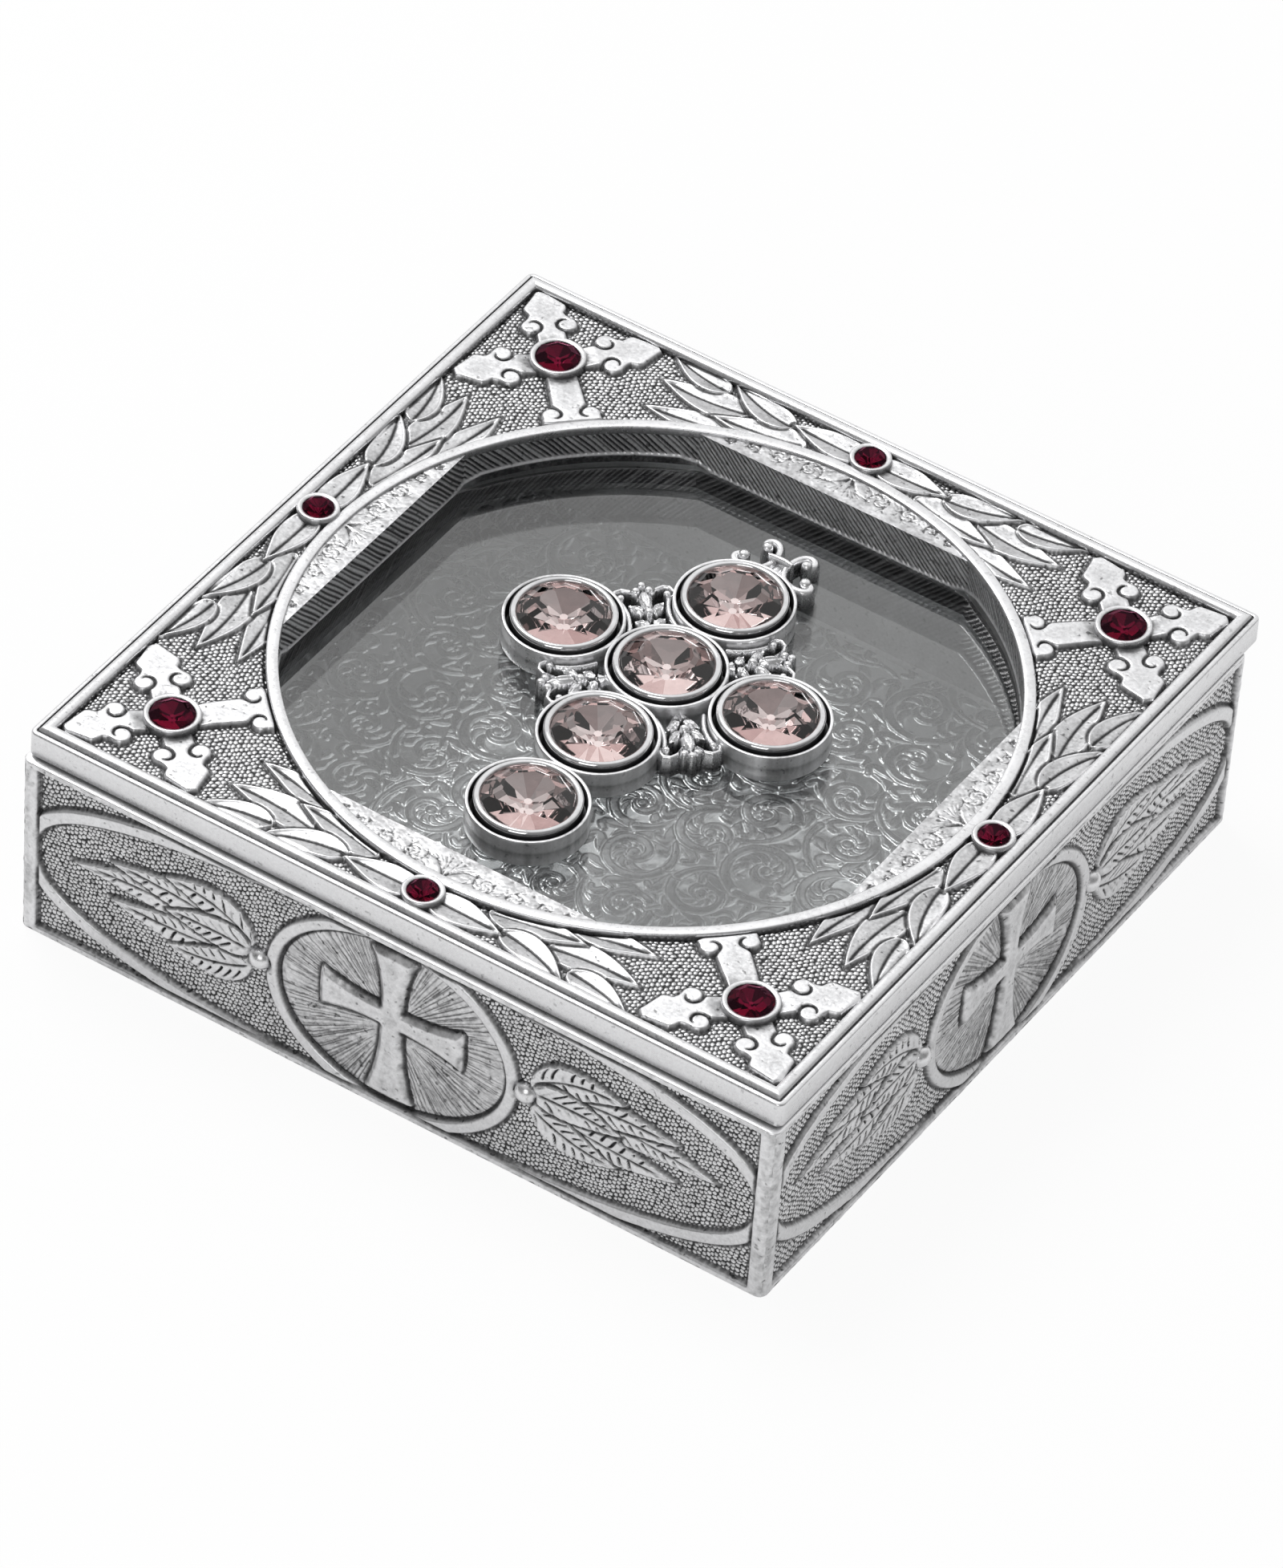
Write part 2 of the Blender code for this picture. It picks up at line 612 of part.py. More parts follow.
def lid_frame():
    metal = pewter()
    lid = lid_body(metal)
    root = FIELD_TOP - EMBED
    disc = circle(RING_RADIUS - RING_WIDTH / 2, RING_STEPS, 0.0, LID_Y)
    outer = circle(RING_RADIUS, RING_STEPS, 0.0, LID_Y)
    inner = circle(RING_RADIUS - RING_WIDTH, RING_STEPS, 0.0, LID_Y)
    raised = [
        prism("ring_panels", disc, root, RIM_HEIGHT - PANEL_DROP, metal),
        tube_prism("lid_ring", outer, inner, root, RIM_HEIGHT - RING_DROP, metal),
        prism("glass_frame", window_outline(REBATE + FRAME_WALL), FRAME_BOTTOM, LID_BOTTOM + EMBED, metal),
    ]
    cuts = [
        prism("window", window_outline(0.0), FRAME_BOTTOM - OVERRUN, RIM_HEIGHT + OVERRUN, metal),
        prism("glass_rebate", window_outline(REBATE), FRAME_BOTTOM - OVERRUN, GLASS_TOP + SEAT_GAP, metal),
    ]
    for quarter in range(4):
        raised.append(corner_cross("corner_cross", quarter, metal))
        raised.extend(laurel_leaves(quarter, metal))
    for title, (x, y), radius in stone_places():
        wall = radius + STONE_BEZEL_WALL
        rim = RIM_HEIGHT + STONE_PROUD
        raised.append(prism(f"{title}_bezel", circle(wall, STONE_STEPS, x, y), root, rim, metal))
        seat = circle(radius + SEAT_GAP, STONE_STEPS, x, y)
        cuts.append(prism(f"{title}_seat", seat, rim - STONE_DEPTH - SEAT_GAP, rim + OVERRUN, metal))
    for side in (-1, 1):
        lid_span, base_spans = hinge_spans(side)
        raised.append(rod(f"lid_knuckle_{side}", KNUCKLE_RADIUS, *lid_span, metal))
        pocket = KNUCKLE_RADIUS + CLEARANCE
        for number, (low, high) in enumerate(base_spans):
            title = f"base_knuckle_pocket_{side}_{number}"
            cuts.append(rod(title, pocket, low - CLEARANCE, high + CLEARANCE, metal))
        hole = PIN_RADIUS + PIN_CLEARANCE
        cuts.append(
            rod(f"lid_pin_hole_{side}", hole, base_spans[0][0] - CLEARANCE, base_spans[1][1] + CLEARANCE, metal)
        )
    combine(lid, raised, "lid_ornament", "UNION")
    combine(lid, cuts, "lid_cuts", "DIFFERENCE")
    return smooth(lid)


def glass_pane():
    outline = window_outline(REBATE - SEAT_GAP)
    return prism("glass_pane", outline, GLASS_BOTTOM, GLASS_TOP, clear_glass())


def glass_retainer():
    """The flat frame behind the pane, level with the lower edge of the lid's glass frame."""
    outer = window_outline(REBATE - SEAT_GAP)
    inner = window_outline(0.0)
    return tube_prism("glass_retainer", outer, inner, FRAME_BOTTOM, RETAINER_TOP, pewter())


def hinge_pins():
    pins = []
    for title, side in (("left", -1), ("right", 1)):
        _, base_spans = hinge_spans(side)
        pin = rod(f"hinge_pin_{title}", PIN_RADIUS, base_spans[0][0], base_spans[1][1], steel())
        pins.append(smooth(pin))
    return pins


def cup_places():
    """Name and place of the six settings of the cross: four in the upright and one at each arm."""
    upright = [("foot", 0, 0), ("shaft", 0, 1), ("centre", 0, 2), ("head", 0, 3)]
    arms = [("left_arm", -1, 2), ("right_arm", 1, 2)]
    low = LID_Y + CROSS_LOW_PLACE
    return [(title, x * CUP_PITCH, low + y * CUP_PITCH) for title, x, y in upright + arms]


def trefoil_outline(x, y, towards):
    points = []
    for step in range(TREFOIL_STEPS):
        angle = 2 * math.pi * step / TREFOIL_STEPS
        radius = TREFOIL_RADIUS * (1 + TREFOIL_LOBE_SHARE * math.cos(3 * (angle - towards)))
        points.append((x + radius * math.cos(angle), y + radius * math.sin(angle)))
    return points


def scroll_outline(shares, turn, side, base_y):
    """A ribbon that winds inwards round a centre, and the place of its end."""
    centre_x, centre_y, first, last = (FINIAL_LENGTH * share for share in shares)
    inner, outer = [], []
    for step in range(SCROLL_STEPS + 1):
        part = step / SCROLL_STEPS
        angle = turn[0] + (turn[1] - turn[0]) * part
        radius = first + (last - first) * part
        direction = Vector((side * math.cos(angle), math.sin(angle)))
        middle = Vector((side * centre_x, base_y + centre_y)) + direction * radius
        inner.append(tuple(middle - direction * SCROLL_WIDTH / 2))
        outer.append(tuple(middle + direction * SCROLL_WIDTH / 2))
    return outer + inner[::-1], middle


def cross_casting():
    """Six round cups, leaf ornament in the four inner corners and a scrolled finial, cast in one piece."""
    metal = pewter()
    cups = cup_places()
    pieces, cuts = [], []
    for number, (title, x, y) in enumerate(cups):
        top = CUP_TOP - (RISE_STEP if number % 2 else 0)
        pieces.append(prism(f"cup_{title}", circle(CUP_RADIUS, ROUND_STEPS, x, y), CUP_BOTTOM, top, metal))
        bore = circle(CUP_RADIUS - CUP_WALL, ROUND_STEPS, x, y)
        cuts.append(prism(f"cup_bore_{title}", bore, CUP_BOTTOM + CUP_FLOOR, CUP_TOP + OVERRUN, metal))
    centre_y = cups[2][2]
    for x, y in ((1, 1), (-1, 1), (-1, -1), (1, -1)):
        outline = trefoil_outline(x * TREFOIL_PLACE, centre_y + y * TREFOIL_PLACE, math.atan2(y, x))
        high = CUP_BOTTOM + TREFOIL_RISE
        pieces.append(prism(f"trefoil_{x}_{y}", outline, CUP_BOTTOM, high, metal))
    base_y = cups[3][2] + CUP_RADIUS
    stem_half, stem_length = (FINIAL_LENGTH * share for share in FINIAL_STEM_SHARES)
    stem = rectangle(-stem_half, stem_half, base_y - EMBED, base_y + stem_length)
    high = CUP_BOTTOM + FINIAL_RISE
    pieces.append(prism("finial_stem", stem, CUP_BOTTOM, high, metal))
    for side in (-1, 1):
        scrolls = ((LOWER_SCROLL_SHARES, LOWER_SCROLL_TURN), (UPPER_SCROLL_SHARES, UPPER_SCROLL_TURN))
        for number, (shares, turn) in enumerate(scrolls, start=1):
            outline, end = scroll_outline(shares, turn, side, base_y)
            title = f"finial_scroll_{side}_{number}"
            pieces.append(prism(title, outline, CUP_BOTTOM, high - number * RISE_STEP, metal))
            knob = circle(SCROLL_END_RADIUS, STONE_STEPS, end.x, end.y)
            pieces.append(prism(f"{title}_end", knob, CUP_BOTTOM, high + number * RISE_STEP, metal))
    casting = pieces.pop(0)
    casting.name = "cross_casting"
    combine(casting, pieces, "cross_pieces", "UNION")
    combine(casting, cuts, "cup_bores", "DIFFERENCE")
    return smooth(casting)


def crystal_setting(title, x, y):
    """One rose crystal and the polished bezel whose lip holds it down on the cup's floor."""
    floor = CUP_FLOOR + SEAT_GAP
    top = CUP_HEIGHT + BEZEL_PROUD
    bore = BEZEL_RADIUS - BEZEL_WALL
    mouth = bore - BEZEL_LIP
    profile = (
        (bore, floor),
        (BEZEL_RADIUS, floor),
        (BEZEL_RADIUS, top - BEZEL_ROUND),
        (BEZEL_RADIUS - BEZEL_ROUND, top),
        (mouth, top - BEZEL_ROUND / 2),
        (mouth, top - BEZEL_LIP_DEPTH),
        (bore, top - BEZEL_LIP_DEPTH),
    )
    place = (x, y, CUP_BOTTOM)
    bezel = turned(f"crystal_bezel_{title}", profile, ROUND_STEPS, place, bright_metal(), closed=True)
    radius = bore - SEAT_GAP
    girdle = top - CRYSTAL_SINK
    outline = [(radius * CULET_SHARE, floor), (radius, girdle)]
    outline += [(radius * share, girdle + CRYSTAL_CROWN * rise) for share, rise in CROWN_SHARES]
    crystal = turned(f"rose_crystal_{title}", outline, CRYSTAL_STEPS, place, rose_crystal())
    return [smooth(bezel), crystal]


def red_stone(title, place, radius):
    rim = RIM_HEIGHT + STONE_PROUD
    girdle = STONE_DEPTH * STONE_GIRDLE_SHARE
    outline = [(radius, 0.0), (radius, girdle)]
    outline += [(radius * share, girdle + STONE_CROWN * rise) for share, rise in CROWN_SHARES]
    return turned(title, outline, STONE_STEPS, (*place, rim - STONE_DEPTH), red_glass())


def hang_on_hinge(pieces):
    """The pieces of the lid turn about one empty on the hinge's axis."""
    axis = bpy.data.objects.new("lid_hinge_axis", None)
    axis.location = (0, HINGE_Y, HINGE_Z)
    bpy.context.scene.collection.objects.link(axis)
    bpy.context.view_layer.update()
    for piece in pieces:
        piece.parent = axis
        piece.matrix_parent_inverse = axis.matrix_world.inverted()


def main():
    for leftover in list(bpy.data.objects):
        bpy.data.objects.remove(leftover)
    base_box()
    hinge_pins()
    lid_pieces = [lid_frame(), glass_pane(), glass_retainer(), cross_casting()]
    for title, x, y in cup_places():
        lid_pieces.extend(crystal_setting(title, x, y))
    for title, place, radius in stone_places():
        lid_pieces.append(red_stone(title, place, radius))
    hang_on_hinge(lid_pieces)


main()
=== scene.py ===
import math

import bpy
import numpy as np
from mathutils import Matrix, Vector


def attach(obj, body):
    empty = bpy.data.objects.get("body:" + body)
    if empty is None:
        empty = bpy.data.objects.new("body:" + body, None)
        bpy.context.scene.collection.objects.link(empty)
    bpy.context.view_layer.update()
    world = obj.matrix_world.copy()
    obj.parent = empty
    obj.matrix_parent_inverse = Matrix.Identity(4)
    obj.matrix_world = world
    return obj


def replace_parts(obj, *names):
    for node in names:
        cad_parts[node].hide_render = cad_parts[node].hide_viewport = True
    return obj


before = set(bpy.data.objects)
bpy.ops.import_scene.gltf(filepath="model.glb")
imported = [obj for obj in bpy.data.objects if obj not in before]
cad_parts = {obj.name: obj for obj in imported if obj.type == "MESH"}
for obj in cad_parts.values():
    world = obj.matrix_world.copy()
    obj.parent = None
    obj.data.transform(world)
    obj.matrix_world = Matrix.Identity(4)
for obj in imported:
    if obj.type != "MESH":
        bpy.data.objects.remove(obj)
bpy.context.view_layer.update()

# All sizes below are millimetres. The lid's own plan has its origin in the middle of the lid,
# and heights of lid relief are measured from the top of the rim.
MM = 0.001
LID_Y = 0.65
RIM = 27.9
LID_HALF = 47.5
LID_BOTTOM = 24.3
RIM_WIDTH = 2.2
FIELD = -0.80
PANEL = -0.48
RING_TOP = -0.10
RING_OUT = 41.1
RING_IN = 39.75
WINDOW_HALF = 35.75
GLASS = -5.1
CORNER_STONE = 36.6
SIDE_STONE = 43.2
CORNER_STONE_RADIUS = 2.55
SIDE_STONE_RADIUS = 1.78
STONE_WALL = 0.62
STONE_RIM = 0.3

BASE_HALF_X = 47.7
BASE_Y = -1.05
BASE_HALF_Y = 46.6
BASE_TOP = 24.0
BASE_DRAFT = 0.2
BASE_CORNER = 1.0
WALL = 2.2
FLOOR = 2.0
POST = 2.1
BACK_POST = 1.3
BORDER = 0.9
SUNK = -0.6
BAND_WIDTH = 1.7
BAND_POWER = 2.4
MEDALLION_HALF = 14.5
MEDALLION_WIDTH = 1.6
BALL_PLACE = 16.9
BALL_RADIUS = 1.3
BALL_PROUD = 0.53
HINGE_PLACE = 28.0
HINGE_Y = 45.92
HINGE_Z = 24.15
KNUCKLE = 1.25

CUP_FOOT = 22.9
CUP_TOP = 26.3
CUP_RADIUS = 6.7375
CUP_WALL = 0.42
CUP_FLOOR = 23.9
CUP_PITCH = 13.275
CROSS_LOW = -23.4125
BEZEL_OUT = 5.9075
BEZEL_IN = 5.0575
BEZEL_TOP = 26.9
TREFOIL_PLACE = 6.983
PAVILION = 26.0

FINE = 0.1
COARSE = 0.12

BEAD_TONE = 1.0
LID_BEAD_TONE = 0.84
EDGE_BLEND = 0.14
SOFTEN = 0.52
OUTLINE_TONE = 0.80
FLOOR_TONE = 0.52


# ---------------------------------------------------------------- numbers

def step01(low, high, value):
    part = np.clip((value - low) / (high - low), 0.0, 1.0)
    return part * part * (3.0 - 2.0 * part)


def blur(field, radius):
    """Gaussian blur of a 2-D array; radius in cells."""
    pad = int(3 * radius) + 1
    wide = np.pad(field, pad, mode="edge")
    ny, nx = wide.shape
    fy = np.fft.fftfreq(ny)[:, None]
    fx = np.fft.rfftfreq(nx)[None, :]
    kernel = np.exp(-2 * (math.pi * radius) ** 2 * (fx * fx + fy * fy))
    soft = np.fft.irfft2(np.fft.rfft2(wide) * kernel, s=wide.shape)
    return soft[pad:-pad, pad:-pad]


def soft_noise(shape, radius, seed):
    """Smooth random field with mean 0 and spread 1."""
    field = blur(np.random.default_rng(seed).standard_normal(shape), radius)
    return field / (field.std() + 1e-9)


def cell_noise(column, row, seed):
    """A random number from 0 to 1 for every pair of whole numbers."""
    value = np.sin(column * 127.1 + row * 311.7 + seed * 74.7) * 43758.5453
    return value - np.floor(value)


def beads(x, y, pitch, seed, turn=0.0):
    """Round pebbles in wavering rows: 0 in the gaps, 1 on the crowns."""
    xr = x * math.cos(turn) - y * math.sin(turn)
    yr = x * math.sin(turn) + y * math.cos(turn)
    xr, yr = (
        xr + 0.30 * pitch * np.sin(yr * 0.8 + seed) + 0.12 * pitch * np.sin(xr * 1.1 - yr * 0.6),
        yr + 0.34 * pitch * np.sin(xr * 0.6 + 2 * seed) + 0.14 * pitch * np.sin(yr * 1.2 + xr * 0.7),
    )
    high = pitch * 0.866
    row0 = np.round(yr / high)
    near = np.full(x.shape, 1e9)
    second = np.full(x.shape, 1e9)
    size = np.ones(x.shape)
    for dr in (-1, 0, 1):
        row = row0 + dr
        shift = 0.5 * (np.mod(row, 2))
        col0 = np.round(xr / pitch - shift)
        for dc in (-1, 0, 1):
            col = col0 + dc
            jx = (cell_noise(col, row, seed) - 0.5) * 0.32 * pitch
            jy = (cell_noise(col, row, seed + 3) - 0.5) * 0.32 * pitch
            gap = np.hypot(xr - (col + shift) * pitch - jx, yr - row * high - jy)
            closer = gap < near
            second = np.where(closer, near, np.minimum(second, gap))
            size = np.where(closer, cell_noise(col, row, seed + 9), size)
            near = np.where(closer, gap, near)
    radius = pitch * (0.43 + 0.09 * size)
    dome = np.sqrt(np.clip(1 - (near / radius) ** 2, 0, 1))
    return dome * step01(0.01, 0.26, (second - near) / pitch) * (0.82 + 0.22 * size)


def polygon_distance(x, y, points):
    """Signed distance to a closed outline, negative inside."""
    best = np.full(x.shape, 1e18)
    inside = np.zeros(x.shape, bool)
    last = points[-1]
    for point in points:
        ax, ay = last
        bx, by = point
        ex, ey = bx - ax, by - ay
        wx, wy = x - ax, y - ay
        part = np.clip((wx * ex + wy * ey) / (ex * ex + ey * ey + 1e-12), 0, 1)
        best = np.minimum(best, (wx - ex * part) ** 2 + (wy - ey * part) ** 2)
        with np.errstate(divide="ignore", invalid="ignore"):
            crossing = ((ay > y) != (by > y)) & (x < ex * (y - ay) / (ey if ey else 1e-12) + ax)
        inside ^= crossing
        last = point
    return np.where(inside, -1, 1) * np.sqrt(best)


def line_distance(x, y, points):
    """Distance to an open line and the place along it, 0 to 1."""
    best = np.full(x.shape, 1e18)
    place = np.zeros(x.shape)
    count = len(points) - 1
    for index in range(count):
        ax, ay = points[index]
        bx, by = points[index + 1]
        ex, ey = bx - ax, by - ay
        part = np.clip(((x - ax) * ex + (y - ay) * ey) / (ex * ex + ey * ey + 1e-12), 0, 1)
        gap = (x - ax - ex * part) ** 2 + (y - ay - ey * part) ** 2
        closer = gap < best
        place = np.where(closer, (index + part) / count, place)
        best = np.where(closer, gap, best)
    return np.sqrt(best), place


class Relief:
    """A height field on a square grid."""

    def __init__(self, low_x, high_x, low_y, high_y, cell):
        self.cell = cell
        self.xs = np.linspace(low_x, high_x, int(round((high_x - low_x) / cell)) + 1)
        self.ys = np.linspace(low_y, high_y, int(round((high_y - low_y) / cell)) + 1)
        self.x, self.y = np.meshgrid(self.xs, self.ys)
        self.h = np.zeros(self.x.shape)
        self.shade = np.ones(self.x.shape)
        self.outline = np.zeros(self.x.shape)
        self.edge = np.zeros(self.x.shape)
        self.covered = np.zeros(self.x.shape)
        self.mottle = np.clip(0.5 + 0.35 * soft_noise(self.x.shape, 2.2, 51) + 0.2 * soft_noise(self.x.shape, 7.0, 52), 0, 1)

    def window(self, points, margin):
        px = [p[0] for p in points]
        py = [p[1] for p in points]
        i0, i1 = np.searchsorted(self.xs, (min(px) - margin, max(px) + margin))
        j0, j1 = np.searchsorted(self.ys, (min(py) - margin, max(py) + margin))
        return slice(max(j0 - 1, 0), j1 + 1), slice(max(i0 - 1, 0), i1 + 1)

    def stroke(self, points, half, height, taper=(1.0, 1.0), groove=False):
        """Adds a rounded ridge, or cuts a groove, along a line."""
        part = self.window(points, half * 2.5)
        x, y = self.x[part], self.y[part]
        if not x.size:
            return
        gap, place = line_distance(x, y, points)
        width = half * (taper[0] + (taper[1] - taper[0]) * place)
        shape = np.exp(-(gap / (width + 1e-6)) ** 2 * 1.4)
        if groove:
            self.h[part] -= height * shape
        else:
            self.h[part] = np.maximum(self.h[part], self.ground[part] + height * shape)

    def emboss(self, points, half, height, taper):
        """A raised lobe with a rounded top and a line round it, over what is there."""
        part = self.window(points, half * 1.5 + 0.4)
        x, y = self.x[part], self.y[part]
        if not x.size:
            return
        gap, place = line_distance(x, y, points)
        width = half * (taper[0] + (taper[1] - taper[0]) * place)
        ground, h = self.ground[part], self.h[part]
        top = ground + height * (0.70 + 0.30 * np.sqrt(np.clip(1 - (gap / width) ** 2, 0, 1)))
        line = step01(0.24, 0.10, gap - width)
        low = h + (ground - h) * line
        self.h[part] = low + (top - low) * step01(EDGE_BLEND, -EDGE_BLEND, gap - width)

    def raise_shape(self, part, gap, top, line, dull):
        """Sets a raised shape (gap: distance to its edge, negative inside) into the field, with a dark line round it."""
        blend = step01(EDGE_BLEND, -EDGE_BLEND, gap)
        near = step01(0.34, 0.08, gap)
        self.edge[part] = np.maximum(self.edge[part] * (1 - blend), step01(0.5, 0.3, np.abs(gap)))
        low = self.h[part] - line * near
        self.h[part] = low + (top - low) * blend
        self.shade[part] += (1 - dull - self.shade[part]) * blend
        self.outline[part] = np.maximum(self.outline[part], near) * (1 - blend)
        self.covered[part] = np.maximum(self.covered[part], blend)

    def soften_edges(self, tone):
        """Blurs a tone by about a cell along the edges of the raised shapes, so that the grid doesn't show there."""
        return tone + (blur(tone, 0.9) - tone) * self.edge

    def cavity(self, radius):
        """How much each point stands above (+) or below (-) its surroundings."""
        return self.h - blur(self.h, radius / self.cell)


# ---------------------------------------------------------------- meshes

def new_object(name, verts, faces, surface, body, patina_and_shade=None, sharp=None, scale=MM):
    """verts (n, 3) in mm; faces: list of arrays of equal-length index rows."""
    mesh = bpy.data.meshes.new(name)
    verts = np.asarray(verts, np.float32) * scale
    mesh.vertices.add(len(verts))
    mesh.vertices.foreach_set("co", verts.ravel())
    rows = [np.asarray(f, np.int32) for f in faces if len(f)]
    loops = np.concatenate([r.ravel() for r in rows])
    totals = np.concatenate([np.full(len(r), r.shape[1], np.int32) for r in rows])
    starts = np.concatenate([[0], np.cumsum(totals)[:-1]]).astype(np.int32)
    mesh.loops.add(len(loops))
    mesh.loops.foreach_set("vertex_index", loops)
    mesh.polygons.add(len(totals))
    mesh.polygons.foreach_set("loop_start", starts)
    mesh.polygons.foreach_set("loop_total", totals)
    mesh.update(calc_edges=True)
    mesh.validate()
    if patina_and_shade is None:
        patina_and_shade = np.ones(len(verts))
    # per-point tone: dark patina in hollows and, on some parts, painted shade and highlights
    layer = mesh.attributes.new("patina_and_shade", "FLOAT", "POINT")
    layer.data.foreach_set("value", np.asarray(patina_and_shade, np.float32))
    smooth = sharp != 0
    mesh.polygons.foreach_set("use_smooth", np.full(len(mesh.polygons), smooth))
    if sharp:
        mesh.set_sharp_from_angle(angle=math.radians(sharp))
    made = bpy.data.objects.new(name, mesh)
    bpy.context.scene.collection.objects.link(made)
    mesh.materials.append(surface)
    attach(made, body)
    return made


def grid_faces(rows, cols, keep=None, closed=False):
    j, i = np.meshgrid(np.arange(rows - 1), np.arange(cols if closed else cols - 1), indexing="ij")
    if keep is not None:
        j, i = j[keep], i[keep]
    j, i = j.ravel(), i.ravel()
    after = (i + 1) % cols
    return np.stack([j * cols + i, j * cols + after, (j + 1) * cols + after, (j + 1) * cols + i], 1)


def used_only(verts, faces, *extra):
    """Drops the points that no face uses."""
    used = np.zeros(len(verts), bool)
    used[faces.ravel()] = True
    index = np.cumsum(used) - 1
    return (verts[used], index[faces], *[e[used] for e in extra])


def turned(name, profile, place, steps, surface, slot, body, patina_and_shade=None, sharp=40):
    """A turned piece from (radius, height) pairs."""
    angles = np.linspace(0, 2 * math.pi, steps, endpoint=False)
    radii = np.array([p[0] for p in profile])[:, None]
    heights = np.array([p[1] for p in profile])[:, None]
    x = place[0] + radii * np.cos(angles)
    y = place[1] + radii * np.sin(angles)
    z = np.broadcast_to(heights + place[2], x.shape)
    verts = np.stack([x.ravel(), y.ravel(), z.ravel()], 1)
    tone = np.repeat(patina_and_shade if patina_and_shade is not None else np.ones(len(profile)), steps)
    return new_object(name, verts, [grid_faces(len(profile), steps, closed=True)], surface, body, tone, sharp)


def square_path(half_x, half_y, radius, centre_y, per_side, per_corner):
    """A rounded rectangle as points and outward directions, anticlockwise from +X."""
    points = []
    radius = max(radius, 0.02)
    corners = ((1, -1), (1, 1), (-1, 1), (-1, -1))
    for index, (sx, sy) in enumerate(corners):
        cx, cy = sx * (half_x - radius), centre_y + sy * (half_y - radius)
        start = -math.pi / 2 + index * math.pi / 2
        for step in range(per_corner):
            angle = start + math.pi / 2 * step / (per_corner - 1)
            points.append((cx + radius * math.cos(angle), cy + radius * math.sin(angle)))
        nx_, ny_ = corners[(index + 1) % 4]
        tx, ty = nx_ * (half_x - radius), centre_y + ny_ * (half_y - radius)
        angle = start + math.pi / 2
        first = points[-1]
        last = (tx + radius * math.cos(angle), ty + radius * math.sin(angle))
        for step in range(1, per_side):
            part = step / per_side
            points.append((first[0] + (last[0] - first[0]) * part, first[1] + (last[1] - first[1]) * part))
    return np.array(points)


def square_sweep(name, rows, surface, body, per_side=150, per_corner=9, sharp=40):
    """rows: (half_x, half_y, corner radius, centre_y, height, tone of patina and painted shade)."""
    verts, tone = [], []
    for half_x, half_y, radius, centre_y, height, shade in rows:
        path = square_path(half_x, half_y, radius, centre_y, per_side, per_corner)
        verts.append(np.column_stack([path, np.full(len(path), height)]))
        tone.append(np.full(len(path), shade))
    count = len(verts[0])
    faces = grid_faces(len(rows), count, closed=True)
    return new_object(name, np.concatenate(verts), [faces], surface, body, np.concatenate(tone), sharp)


# ---------------------------------------------------------------- materials

class Nodes:
    """Short names for building a node tree."""

    def __init__(self, name):
        self.material = bpy.data.materials.new(name)
        self.material.use_nodes = True
        self.tree = self.material.node_tree
        self.tree.nodes.clear()
        self.out = self.tree.nodes.new("ShaderNodeOutputMaterial")

    def add(self, kind, **values):
        node = self.tree.nodes.new(kind)
        for key, value in values.items():
            if hasattr(node, key):
                setattr(node, key, value)
            else:
                node.inputs[key.replace("_", " ")].default_value = value
        return node

    def link(self, source, target):
        self.tree.links.new(source, target)

    def math(self, operation, a, b=None, c=None, clamp=False):
        node = self.add("ShaderNodeMath", operation=operation, use_clamp=clamp)
        for index, value in enumerate((a, b, c)):
            if value is None:
                continue
            if isinstance(value, (int, float)):
                node.inputs[index].default_value = value
            else:
                self.link(value, node.inputs[index])
        return node.outputs[0]

    def noise(self, scale, detail=3.0, roughness=0.55, distortion=0.0, source=None):
        node = self.add("ShaderNodeTexNoise")
        node.inputs["Scale"].default_value = scale
        node.inputs["Detail"].default_value = detail
        node.inputs["Roughness"].default_value = roughness
        node.inputs["Distortion"].default_value = distortion
        self.link(source or self.place, node.inputs["Vector"])
        return node.outputs["Fac"]

    def ramp(self, value, stops):
        node = self.add("ShaderNodeValToRGB")
        ramp = node.color_ramp
        while len(ramp.elements) > 1:
            ramp.elements.remove(ramp.elements[-1])
        ramp.elements[0].position = stops[0][0]
        ramp.elements[0].color = (*stops[0][1], 1)
        for at, colour in stops[1:]:
            ramp.elements.new(at).color = (*colour, 1)
        self.link(value, node.inputs["Fac"])
        return node.outputs["Color"]

    def spread(self, value, low, high, to_low, to_high):
        node = self.add("ShaderNodeMapRange")
        node.clamp = True
        for key, number in (("From Min", low), ("From Max", high), ("To Min", to_low), ("To Max", to_high)):
            node.inputs[key].default_value = number
        self.link(value, node.inputs["Value"])
        return node.outputs["Result"]

    def object_place(self):
        node = self.add("ShaderNodeTexCoord")
        self.place = node.outputs["Object"]


